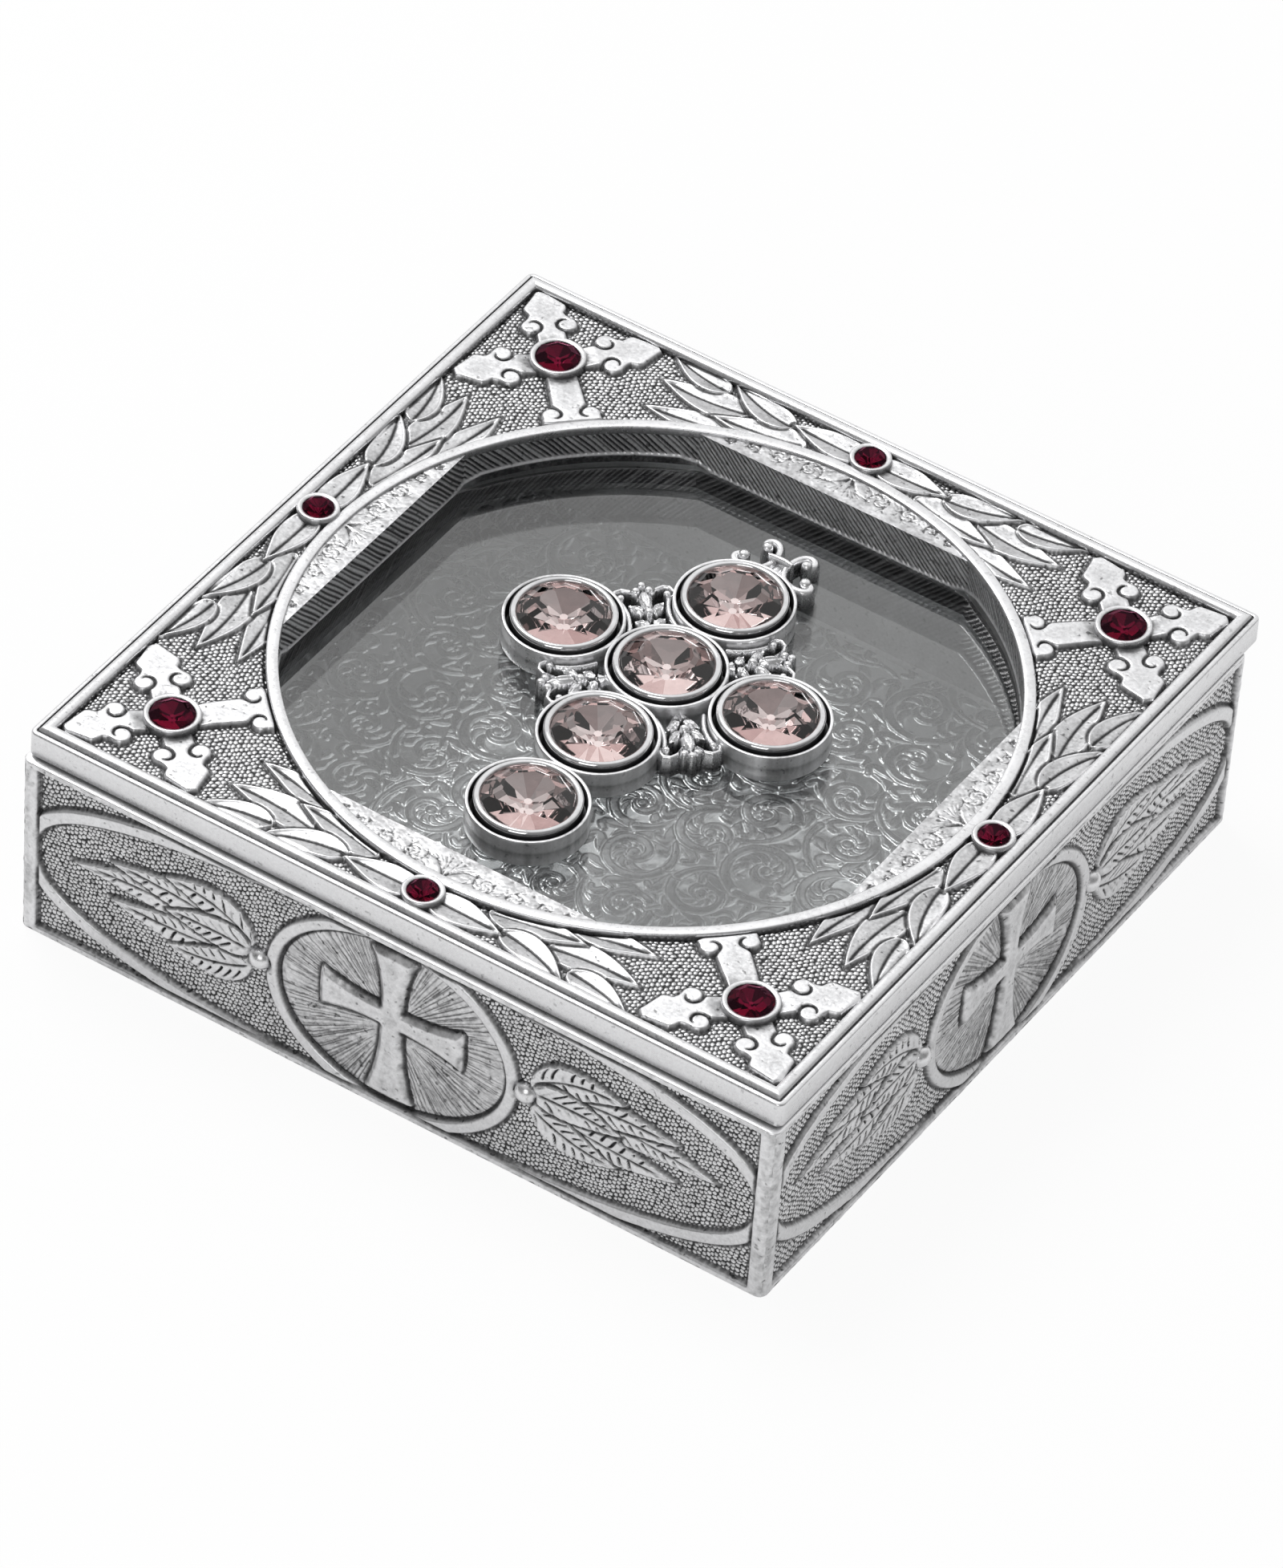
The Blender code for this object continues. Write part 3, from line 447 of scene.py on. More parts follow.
def pewter(name, bright, dark, rough, grain, use_patina_and_shade=True, wear=0.5, streaks=0.0, metal=1.0):
    """Cast metal coloured by a per-point attribute that holds dark patina in its hollows and, on some parts, painted
    shade and highlights; upright streaks of painted reflection where asked for.
    """
    n = Nodes(name)
    n.object_place()
    cloud = n.noise(220.0, 5.0, 0.6)
    speck = n.noise(2600.0, 2.0, 0.6)
    pits = n.noise(1500.0, 1.0, 0.4)
    pit = n.spread(pits, 0.67, 0.76, 0.0, 1.0)
    if use_patina_and_shade:
        layer = n.add("ShaderNodeAttribute", attribute_name="patina_and_shade")
        tone = layer.outputs["Fac"]
    else:
        tone = n.spread(cloud, 0.2, 0.8, 0.82, 1.0)
    # mottling of the worn surface
    tone = n.math("ADD", tone, n.spread(cloud, 0.25, 0.75, -0.10 * wear, 0.06 * wear))
    tone = n.math("ADD", tone, n.spread(speck, 0.2, 0.8, -0.22 * wear, 0.14 * wear))
    # upright streaks painted darker, standing in for reflections on turned walls
    if streaks:
        stretched = n.add("ShaderNodeMapping")
        stretched.inputs["Scale"].default_value = (1.0, 1.0, 0.08)
        n.link(n.place, stretched.inputs["Vector"])
        band = n.noise(300.0, 3.0, 0.6, source=stretched.outputs["Vector"])
        tone = n.math("SUBTRACT", tone, n.spread(band, 0.35, 0.62, streaks, 0.0))
    tone = n.math("SUBTRACT", tone, n.math("MULTIPLY", pit, 0.50 * wear), clamp=True)
    colour = n.ramp(tone, (
        (0.0, dark),
        (0.35, tuple(d + (b - d) * 0.22 for d, b in zip(dark, bright))),
        (0.72, tuple(d + (b - d) * 0.70 for d, b in zip(dark, bright))),
        (1.0, bright),
    ))
    shader = n.add("ShaderNodeBsdfPrincipled")
    n.link(colour, shader.inputs["Base Color"])
    n.link(n.spread(tone, 0.0, 0.5, 0.35, metal), shader.inputs["Metallic"])
    n.link(n.spread(n.math("ADD", speck, cloud), 0.6, 1.4, rough[0], rough[1]), shader.inputs["Roughness"])
    bump = n.add("ShaderNodeBump")
    bump.inputs["Strength"].default_value = grain
    bump.inputs["Distance"].default_value = 0.00003
    n.link(n.math("SUBTRACT", speck, n.math("MULTIPLY", pit, 0.8)), bump.inputs["Height"])
    n.link(bump.outputs["Normal"], shader.inputs["Normal"])
    n.link(shader.outputs[0], n.out.inputs["Surface"])
    return n.material


def gem_front(name, tint, rough, index):
    n = Nodes(name)
    n.object_place()
    smear = n.noise(900.0, 2.0, 0.5)
    shader = n.add("ShaderNodeBsdfGlass")
    shader.inputs["IOR"].default_value = index
    colour = n.ramp(smear, ((0.3, tuple(c * 0.96 for c in tint)), (0.7, tint)))
    n.link(colour, shader.inputs["Color"])
    n.link(n.spread(smear, 0.3, 0.7, rough * 0.5, rough), shader.inputs["Roughness"])
    bump = n.add("ShaderNodeBump")
    bump.inputs["Strength"].default_value = 0.04
    bump.inputs["Distance"].default_value = 0.00002
    n.link(smear, bump.inputs["Height"])
    n.link(bump.outputs["Normal"], shader.inputs["Normal"])
    n.link(shader.outputs[0], n.out.inputs["Surface"])
    return n.material


def gem_back(name, light, deep, rough):
    """The foiled back of a cut stone: a coloured mirror."""
    n = Nodes(name)
    n.object_place()
    cloud = n.noise(300.0, 3.0, 0.6)
    shader = n.add("ShaderNodeBsdfPrincipled")
    shader.inputs["Metallic"].default_value = 1.0
    n.link(n.ramp(cloud, ((0.3, deep), (0.7, light))), shader.inputs["Base Color"])
    n.link(n.spread(cloud, 0.3, 0.7, rough, rough * 2.5), shader.inputs["Roughness"])
    bump = n.add("ShaderNodeBump")
    bump.inputs["Strength"].default_value = 0.15
    bump.inputs["Distance"].default_value = 0.00005
    n.link(cloud, bump.inputs["Height"])
    n.link(bump.outputs["Normal"], shader.inputs["Normal"])
    n.link(shader.outputs[0], n.out.inputs["Surface"])
    return n.material


def pane():
    """Clear flat glass: light goes straight through, and the surface mirrors by its angle."""
    n = Nodes("pane_glass")
    n.object_place()
    smear = n.noise(60.0, 4.0, 0.6)
    clear = n.add("ShaderNodeBsdfTransparent")
    n.link(n.ramp(smear, ((0.3, (0.90, 0.91, 0.91)), (0.7, (0.94, 0.95, 0.95)))), clear.inputs["Color"])
    mirror = n.add("ShaderNodeBsdfGlossy")
    n.link(n.spread(smear, 0.3, 0.7, 0.02, 0.05), mirror.inputs["Roughness"])
    n.link(n.ramp(smear, ((0.3, (0.9, 0.9, 0.9)), (0.7, (1.0, 1.0, 1.0)))), mirror.inputs["Color"])
    bump = n.add("ShaderNodeBump")
    bump.inputs["Strength"].default_value = 0.02
    bump.inputs["Distance"].default_value = 0.0001
    n.link(smear, bump.inputs["Height"])
    n.link(bump.outputs["Normal"], mirror.inputs["Normal"])
    facing = n.add("ShaderNodeLayerWeight")
    steep = n.math("POWER", facing.outputs["Facing"], 5.0)
    edge = n.math("ADD", n.math("MULTIPLY", steep, 0.88), 0.12, clamp=True)
    mix = n.add("ShaderNodeMixShader")
    n.link(edge, mix.inputs["Fac"])
    n.link(clear.outputs[0], mix.inputs[1])
    n.link(mirror.outputs[0], mix.inputs[2])
    n.link(mix.outputs[0], n.out.inputs["Surface"])
    return n.material


PEWTER = pewter("antique_cast", (0.78, 0.78, 0.79), (0.008, 0.008, 0.009), (0.28, 0.46), 0.5, wear=0.7)
SMOOTH = pewter("worn_cast", (0.78, 0.78, 0.79), (0.012, 0.012, 0.013), (0.22, 0.38), 0.3, wear=0.5)
INSIDE = pewter("inside_cast", (0.93, 0.93, 0.94), (0.05, 0.05, 0.052), (0.26, 0.40), 0.4, wear=0.4, metal=0.8)
GROUND = pewter("floor_cast", (0.93, 0.93, 0.94), (0.05, 0.05, 0.052), (0.17, 0.27), 0.25, wear=0.3, metal=0.80)
# the cups get upright streaks of painted reflection
CUP = pewter("cup_cast", (0.92, 0.92, 0.93), (0.012, 0.012, 0.013), (0.24, 0.44), 0.3, wear=0.4, streaks=0.34, metal=0.84)
ORNAMENT = pewter("ornament_cast", (0.84, 0.84, 0.85), (0.010, 0.010, 0.011), (0.20, 0.36), 0.4, wear=0.5, metal=0.95)
# the bright silver gets upright streaks of painted reflection
SILVER = pewter("bright_silver", (0.82, 0.82, 0.83), (0.03, 0.03, 0.032), (0.04, 0.10), 0.08, wear=0.10, streaks=0.16)
STEEL = pewter("pin_steel", (0.50, 0.50, 0.51), (0.08, 0.08, 0.08), (0.25, 0.40), 0.3, use_patina_and_shade=False)
ROSE = gem_front("rose_glass", (1.0, 0.972, 0.968), 0.005, 1.56)
# each stone's second foil is a darker copy, painted shade for some facets
ROSE_BACK = (
    gem_back("rose_foil", (1.0, 0.93, 0.92), (0.92, 0.81, 0.80), 0.01),
    gem_back("rose_foil_painted_dark", (0.80, 0.67, 0.66), (0.68, 0.55, 0.54), 0.01),
)
RED = gem_front("red_glass", (0.50, 0.17, 0.27), 0.008, 1.45)
RED_BACK = (
    gem_back("red_foil", (0.90, 0.36, 0.54), (0.56, 0.20, 0.32), 0.02),
    gem_back("red_foil_painted_dark", (0.10, 0.02, 0.05), (0.05, 0.01, 0.02), 0.02),
)
PANE = pane()


# ---------------------------------------------------------------- lid relief

def around(points, quarter, mirror=1):
    """Points of the front side, mirrored and turned to another side of the lid."""
    angle = quarter * math.pi / 2
    c, s = math.cos(angle), math.sin(angle)
    return [(mirror * x * c - y * s, mirror * x * s + y * c) for x, y in points]


def leaf_shape(x, y, start, tip, wide_left, wide_right, bend, fullness=0.62):
    """Distance to a leaf's edge (negative inside), the place along it and the offset from its midrib."""
    dx, dy = tip[0] - start[0], tip[1] - start[1]
    length = math.hypot(dx, dy)
    ux, uy = dx / length, dy / length
    along = ((x - start[0]) * ux + (y - start[1]) * uy) / length
    inside = np.clip(along, 0.0, 1.0)
    side = -(x - start[0]) * uy + (y - start[1]) * ux - bend * 4 * inside * (1 - inside)
    wide = np.where(side > 0, wide_left, wide_right)
    swell = np.sin(math.pi * inside ** fullness)
    half = wide * np.clip(swell, 0, 1) ** 0.9
    over = np.maximum(-along, along - 1.0) * length
    slope = wide * math.pi / length * np.abs(np.cos(math.pi * inside ** fullness))
    gap = (np.abs(side) - half) / np.sqrt(1 + slope ** 2)
    gap = np.where(over > 0, np.maximum(gap, over), gap)
    return gap, inside, side, length


def paint_leaf(relief, start, tip, wide_left, wide_right, bend, high, style, seed):
    part = relief.window([start, tip], max(wide_left, wide_right) + abs(bend) + 0.8)
    x, y = relief.x[part], relief.y[part]
    if not x.size:
        return
    gap, along, side, length = leaf_shape(x, y, start, tip, wide_left, wide_right, bend)
    inner = -gap
    half = np.maximum(inner + np.abs(side), 0.2)
    top = high - style["valley"] * np.clip(1 - np.abs(side) / half, 0, 1) * step01(style["margin"] * 0.4, style["margin"], inner)
    top -= style["sink"] * step01(style["margin"], style["margin"] + 0.16, inner)
    top -= 0.24 * (1 - step01(0.0, 0.24, inner))
    rib = np.exp(-(side / style["rib"]) ** 2) * step01(0.97, 0.80, along) * step01(0.0, 0.06, along)
    top -= style["rib_depth"] * rib
    if style["veins"]:
        # slanting cuts that run from the midrib to the margin
        slant = (along * length - np.abs(side) * style["slant"]) / style["veins"]
        phase = slant + 0.18 * np.sin(side * 2.1 + seed)
        cell = np.abs(phase - np.round(phase))
        first = 0.05 + 0.75 * cell_noise(np.round(phase), np.sign(side), seed + 5)
        reach = step01(first, first + 0.2, np.abs(side)) * step01(0.05, 0.35, inner)
        keep = cell_noise(np.round(phase), np.sign(side), seed) > 0.12
        top -= style["vein_depth"] * np.exp(-(cell / 0.105) ** 2) * reach * keep
        top += 0.10 * np.clip(phase - np.floor(phase) - 0.5, -0.5, 0.5) * step01(0.1, 0.4, np.abs(side))
    mottle = relief.mottle[part]
    # the leaf's inside is coloured darker than its margin, more so towards its base, with random mottling
    dull = style["dull"] * step01(style["margin"] * 0.6, style["margin"] + 0.2, inner) * (0.50 + 0.35 * mottle + 0.5 * step01(0.6, 0.0, along))
    relief.raise_shape(part, gap, top, style["line"], dull)


LID_LEAF = {"line": 0.20, "sink": 0.07, "margin": 0.34, "valley": 0.24, "rib": 0.13, "rib_depth": 0.11, "veins": 0, "dull": 0.26}
PALM_LEAF = {
    "line": 0.24, "sink": 0.0, "margin": 0.30, "valley": 0.20, "rib": 0.14, "rib_depth": 0.12, "dull": 0.03,
    "veins": 1.30, "slant": 0.9, "vein_depth": 0.40,
}

# start, tip, half widths (towards the ring, towards the rim) and bend of each laurel leaf,
# from the side stone towards the corner and from the stones' line towards the ring
LAUREL = (
    ((14.6, 4.7), (25.2, 6.9), 1.9, 1.9, 0.35),
    ((14.8, 1.3), (26.0, 2.0), 2.2, 2.3, 0.55),
    ((18.6, -0.5), (27.4, -2.6), 1.7, 2.0, 0.5),
    ((7.0, 2.0), (18.2, 3.95), 2.0, 2.3, 0.25),
    ((9.6, 0.3), (19.5, -2.9), 1.9, 2.0, 0.75),
    ((0.6, 0.1), (10.1, -0.15), 2.05, 2.3, 0.1),
)


def fleur_outline(ring_arm):
    """One arm of a corner cross along +X, as the column's outline and the places of its two curls."""
    if ring_arm:
        half = [(0.0, 1.85), (3.3, 1.85), (7.6, 2.0), (8.3, 1.6), (9.2, 2.9), (9.7, 3.35), (10.45, 3.4), (10.75, 2.4)]
        curl = (9.25, 2.15, 1.22)
    else:
        half = [
            (0.0, 1.75), (4.5, 1.75), (5.0, 1.4), (6.0, 2.4), (6.8, 2.75), (7.35, 2.3), (7.8, 2.1), (8.5, 2.45), (9.1, 2.5),
            (10.2, 1.7), (11.2, 1.0), (11.75, 0.7),
        ]
        curl = (5.85, 2.0, 1.26)
    return half + [(x, -y) for x, y in half[::-1]], [curl, (curl[0], -curl[1], curl[2])]


def paint_fleurs(relief):
    for quarter in range(4):
        base = 5 * math.pi / 4 + quarter * math.pi / 2
        centre = around([(-CORNER_STONE, -CORNER_STONE)], quarter)[0]
        part = relief.window([centre], 13.2)
        x, y = relief.x[part] - centre[0], relief.y[part] - centre[1]
        gap = np.full(x.shape, 1e9)
        cuts = np.zeros(x.shape)
        for arm in range(4):
            ring_arm = arm == 2
            # each arm was cut by hand: a little off its axis
            angle = base + arm * math.pi / 2 + 0.035 * math.sin(3.1 * arm + 1.7 * quarter)
            c, s = math.cos(angle), math.sin(angle)
            u, v = x * c + y * s, -x * s + y * c
            outline, curls = fleur_outline(ring_arm)
            gap = np.minimum(gap, polygon_distance(u, v, outline))
            for cu, cv, radius in curls:
                side = math.copysign(1, cv)
                gap = np.minimum(gap, np.hypot(u - cu, v - cv) - radius)
                # the crescent cut that lets the curl stand free of the stem
                hook = []
                first, last = (175, 335) if ring_arm else (172, 372)
                for step in range(17):
                    share = step / 16
                    swing = math.radians(first + (last - first) * share)
                    reach = radius * (0.98 - 0.16 * share - 0.34 * max(0.0, (share - 0.5) / 0.5) ** 1.3)
                    hook.append((cu + reach * math.cos(swing), cv + side * reach * math.sin(swing)))
                near, place = line_distance(u, v, hook)
                width = 0.05 + 0.125 * np.sin(math.pi * np.clip(place * 1.05 + 0.02, 0, 1)) ** 0.8
                cuts = np.maximum(cuts, np.exp(-(near / width) ** 2))
        inner = -gap
        far = np.hypot(x, y)
        top = FIELD + 0.56 - 0.30 * (1 - step01(0.0, 0.30, inner)) - 0.20 * step01(4.6, 3.0, far)
        top -= 0.34 * cuts
        mottle = relief.mottle[part]
        # the cross is painted darker round the stone, as shade, with random mottling all over
        dull = 0.06 * mottle + 0.36 * step01(5.6, 3.2, far) * (0.6 + 0.5 * mottle)
        relief.raise_shape(part, gap, top, 0.20, dull)


def acanthus(cx, cy, size, begin, hand, lobes=9, outer=6):
    """One scroll of foliage as lines: (points, width share, first and last taper)."""
    lines = []

    def stem(turned):
        return size * (0.10 + 0.90 * max(0.0, 1 - turned / 10.6) ** 1.15)

    def spot(turned, reach):
        angle = begin + hand * turned
        return cx + reach * math.cos(angle), cy + reach * math.sin(angle)

    lines.append(([spot(t, stem(t)) for t in np.linspace(0, 10.4, 34)], 1.0, (1.0, 1.0)))
    lines.append(([spot(t, stem(t) - 0.12 * size * math.sin(t * 0.5)) for t in np.linspace(0.2, 6.0, 18)], 0.7, (0.6, 0.8)))
    lines.append(([spot(0, 0.04 * size), spot(3, 0.04 * size)], 1.7, (1.0, 1.0)))
    # comma-shaped lobes between the outer and the next turn
    for lobe in range(lobes):
        start = 0.35 + lobe * 5.0 / lobes
        deep = stem(start + 0.9) - stem(start + 6.9)
        for bow, thick in ((0.45, 0.8), (1.0, 0.95)):
            points = []
            for k in range(7):
                share = k / 6
                turned = start + bow * share ** 0.8 + 0.25 * share
                points.append(spot(turned, stem(turned) - deep * (0.06 + 0.74 * share ** (1.5 - 0.5 * bow))))
            lines.append((points, thick, (0.6, 1.15)))
    # leaves that flare off the outside
    for leaf in range(outer):
        start = 0.2 + leaf * 5.6 / outer
        for bow, thick in ((0.35, 0.85), (0.80, 0.85)):
            points = []
            for k in range(6):
                share = k / 5
                turned = start + bow * math.sin(1.9 * share)
                points.append(spot(turned, stem(start) + size * 0.46 * share ** 0.9))
            lines.append((points, thick, (1.1, 0.5)))
    return lines


def panel_engraving(relief):
    """Foliage cut into the four segments between the window and the ring."""
    for quarter in range(4):
        for mirror in (-1, 1):
            def cut(points, half=0.085, depth=0.13, taper=(1.0, 0.5)):
                relief.stroke(around([(a, b - 37.9) for a, b in points], quarter, mirror), half, depth, taper, True)
            # a central fan, scrolls that shrink towards the end and hatching between them
            for fan in range(6):
                lean = 0.10 + 0.24 * fan
                cut([(0.2, -1.5), (0.25 + lean * 1.1, 0.0), (0.3 + lean * 2.6, 1.3 - fan * 0.16)], 0.075, 0.10)
            for at, up, size, begin in ((4.5, -0.25, 1.55, 2.4), (8.3, -0.15, 1.30, -1.2), (11.6, 0.35, 0.95, 2.2), (14.1, 0.95, 0.62, -1.0)):
                hand = 1 if begin > 0 else -1
                for points, thick, taper in acanthus(at, up, size, begin, hand, 4, 4):
                    cut(points, 0.062 * thick, 0.09, taper)
            for hatch in range(22):
                at = 2.2 + hatch * 0.58
                low = -1.75 + 0.06 * at + (0.35 if hatch % 3 else 0.0)
                cut([(at, low), (at + 0.35, low + 0.34), (at + 0.55, low + 0.75)], 0.06, 0.08)


def lid_relief():
    edge = 45.55
    relief = Relief(-edge, edge, -edge, edge, FINE)
    x, y = relief.x, relief.y
    far = np.hypot(x, y)
    dots = beads(x, y, 0.62, 4, 0.35)
    relief.h = FIELD - 0.02 + 0.15 * dots
    for number, (start, tip, left, right, bend) in enumerate(LAUREL):
        high = FIELD + 0.40 + 0.03 * number
        for quarter in range(4):
            for mirror in (-1, 1):
                ends = around([(start[0], start[1] - SIDE_STONE), (tip[0], tip[1] - SIDE_STONE)], quarter, mirror)
                wide = (left, right) if mirror > 0 else (right, left)
                paint_leaf(relief, ends[0], ends[1], *wide, bend * mirror, high, LID_LEAF, number + quarter)
    paint_fleurs(relief)
    # a cast dark line along the rim and along the ring
    relief.h -= 0.22 * step01(44.75, 45.3, np.maximum(np.abs(x), np.abs(y)))
    relief.h -= 0.30 * step01(RING_OUT + 0.45, RING_OUT + 0.05, far) * (far > RING_OUT - 0.2)
    ground = relief.covered < 0.5
    panel = far < 40.4
    flat = PANEL + 0.012 * soft_noise(x.shape, 5, 11) + 0.007 * soft_noise(x.shape, 1.1, 13)
    relief.h = np.where(panel, flat, relief.h)
    panel_engraving(relief)
    relief.h = blur(relief.h, SOFTEN) + 0.003 * soft_noise(x.shape, 1.2, 12)
    hollow = relief.cavity(0.42)
    tone = step01(-0.11, 0.03, hollow) * relief.shade
    relief.outline[far < RING_OUT + 0.5] = 0
    tone = np.where(ground, LID_BEAD_TONE * step01(0.20, 0.66, dots) * (0.86 + 0.2 * relief.mottle), tone)
    tone = relief.soften_edges(tone * (1 - OUTLINE_TONE * relief.outline))
    tone = np.where(panel, (step01(-0.05, 0.005, hollow) * 0.60 + 0.30) * (1 - 0.22 * relief.mottle), tone)
    keep = (far[:-1, :-1] > 40.3) | (np.maximum(np.abs(x + FINE / 2), np.abs(y + FINE / 2))[:-1, :-1] > WINDOW_HALF)
    # the field is open under the stones, which reach down into it
    for _, at_x, at_y, radius in stone_places():
        keep &= np.hypot(x - at_x, y + LID_Y - at_y)[:-1, :-1] > radius + 0.3
    rows, cols = x.shape
    verts = np.stack([x.ravel(), y.ravel() + LID_Y, relief.h.ravel() + RIM], 1)
    mid_x = (x[:-1, :-1] + FINE / 2)
    mid_y = (y[:-1, :-1] + FINE / 2)
    for title, sx, sy in (("back_right", 1, 1), ("back_left", -1, 1), ("front_left", -1, -1), ("front_right", 1, -1)):
        for half, sign in (("a", 1), ("b", -1)):
            part = keep & (mid_x * sx > 0) & (mid_y * sy > 0) & ((mid_x * sx - mid_y * sy) * sign > 1e-6)
            if sign < 0:
                part |= keep & (mid_x * sx > 0) & (mid_y * sy > 0) & (np.abs(mid_x * sx - mid_y * sy) <= 1e-6)
            faces = grid_faces(rows, cols, part)
            points, faces, shade = used_only(verts, faces, tone.ravel())
            made = new_object(f"lid_field_{title}_{half}", points, [faces], PEWTER, "lid", shade)
            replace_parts(made, "lid_frame")


def lid_mouldings():
    """The ring, the rim and the plain sides and underside of the lid."""
    profile = [
        (RING_IN, GLASS + 4.0, 0.3), (RING_IN, -0.60, 0.5), (RING_IN, -0.24, 0.9), (RING_IN + 0.05, -0.15, 1.0), (RING_IN + 0.16, -0.10, 1.0),
        (RING_IN + 0.5, -0.085, 1.0), (RING_OUT - 0.5, -0.085, 1.0), (RING_OUT - 0.18, -0.11, 1.0), (RING_OUT - 0.05, -0.18, 0.95),
        (RING_OUT, -0.30, 0.8), (RING_OUT + 0.02, -0.62, 0.3), (RING_OUT + 0.03, -1.05, 0.1),
    ]
    tone = np.array([p[2] for p in profile])
    made = turned("lid_ring", [(p[0], p[1]) for p in profile], (0, LID_Y, RIM), 720, SMOOTH, "antique_pewter", "lid", tone)
    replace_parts(made, "lid_frame")

    shares = (
        (1.0, 1.25, 0.1), (1.0, 1.0, 0.2), (0.985, 0.62, 0.6), (0.96, 0.36, 0.95), (0.90, 0.17, 1.0), (0.82, 0.06, 1.0), (0.74, 0.01, 1.0),
        (0.66, 0.0, 1.0), (0.58, 0.03, 1.0), (0.50, 0.10, 1.0), (0.43, 0.24, 1.0), (0.385, 0.42, 0.85), (0.355, 0.66, 0.45), (0.335, 0.80, 0.22),
        (0.285, 0.82, 0.22), (0.265, 0.70, 0.5), (0.25, 0.58, 0.95), (0.21, 0.545, 1.0), (0.13, 0.55, 1.0), (0.06, 0.62, 1.0), (0.02, 0.74, 1.0),
        (0.0, 0.95, 1.0), (0.0, 1.6, 0.97), (0.0, 3.0, 0.93), (0.0, 4.2, 0.85), (0.015, 4.42, 0.7), (0.06, 4.5, 0.5), (0.6, 4.5, 0.5),
    )
    rows = []
    for inset, drop, shade in shares:
        half = LID_HALF - RIM_WIDTH * inset
        rows.append((half, half, max(0.9 - RIM_WIDTH * inset, 0.03), LID_Y, RIM - 0.8 * drop, shade))
    made = square_sweep("lid_rim", rows[::-1], SMOOTH, "lid")
    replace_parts(made, "lid_frame")


def window_wall():
    """The deep wall of the window with its slanting cuts."""
    first = math.acos(WINDOW_HALF / RING_IN)
    path, outwards, on_arc = [], [], []
    for quarter in range(4):
        turn = quarter * math.pi / 2
        # straight side, then arc
        chord = math.tan(first) * WINDOW_HALF
        count = int(2 * chord / 0.10)
        for step in range(count):
            across = -chord + 2 * chord * step / count
            c, s = math.cos(turn), math.sin(turn)
            path.append((WINDOW_HALF * c - across * s, WINDOW_HALF * s + across * c))
            outwards.append((c, s))
            on_arc.append(0.0)
        count = int((math.pi / 2 - 2 * first) * RING_IN / 0.10)
        for step in range(count):
            angle = turn + first + (math.pi / 2 - 2 * first) * step / count
            path.append((RING_IN * math.cos(angle), RING_IN * math.sin(angle)))
            outwards.append((math.cos(angle), math.sin(angle)))
            on_arc.append(1.0)
    path, outwards, on_arc = np.array(path), np.array(outwards), np.array(on_arc)
    run = np.concatenate([[0], np.cumsum(np.hypot(*np.diff(path, axis=0).T))])
    top = np.where(on_arc > 0, -0.30, PANEL)
    reach = 20
    wrapped = np.concatenate([on_arc[-reach:], on_arc, on_arc[:reach]])
    on_arc = np.convolve(wrapped, np.ones(2 * reach + 1) / (2 * reach + 1), "valid")
    verts, tone = [], []
    rows = 34
    for row in range(rows):
        part = row / (rows - 1)
        height = top + (GLASS - 0.02 - top) * part
        slant = (run - 0.95 * (height - top) + 0.05 * np.sin(run * 1.3)) / 0.74
        jag = cell_noise(np.round(slant), np.zeros_like(slant), 2)
        shift = 0.30 * (jag - 0.5)
        groove = step01(0.32, 0.10, np.abs(slant - np.round(slant) - shift))
        # on the arcs the cuts end higher, at a thin line painted bright as a highlight over a plain strip painted
        # dark as shade
        joint = 0.955 - 0.21 * on_arc
        fade = step01(0.0, 0.07 + 0.05 * jag, part) * step01(joint + 0.03, joint - 0.03 - 0.05 * jag, part)
        cut = 0.22 * groove * (0.45 + 0.75 * jag) * fade
        lip = 0.10 * step01(0.0, 0.05, part) - 0.12 * step01(joint, joint + 0.03, part)
        place = path + outwards * (cut + lip)[:, None]
        verts.append(np.column_stack([place[:, 0], place[:, 1] + LID_Y, height + RIM]))
        # edge is a thin line painted bright as a highlight; the wall is also coloured darker in its cuts, as patina,
        # and a little darker towards the bottom
        edge = step01(joint - 0.01, joint + 0.02, part) * step01(joint + 0.10, joint + 0.05, part)
        painted_dark_strip = step01(joint + 0.04, joint + 0.08, part) * on_arc
        plain = np.clip(0.86 - 5.0 * cut - 0.08 * part, 0.02, 1) * (1 - 0.18 * jag)
        tone.append((plain * (1 - edge) + edge) * (1 - 0.88 * painted_dark_strip))
    faces = grid_faces(rows, len(path), closed=True)[:, ::-1]
    made = new_object("lid_window_wall", np.concatenate(verts), [faces], PEWTER, "lid", np.concatenate(tone))
    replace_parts(made, "lid_frame")


def stone_places():
    for title, x, y in (("back_right", 1, 1), ("back_left", -1, 1), ("front_left", -1, -1), ("front_right", 1, -1)):
        yield f"corner_stone_{title}", x * CORNER_STONE, LID_Y + y * CORNER_STONE, CORNER_STONE_RADIUS
    for title, x, y in (("back", 0, 1), ("left", -1, 0), ("front", 0, -1), ("right", 1, 0)):
        yield f"side_stone_{title}", x * SIDE_STONE, LID_Y + y * SIDE_STONE, SIDE_STONE_RADIUS


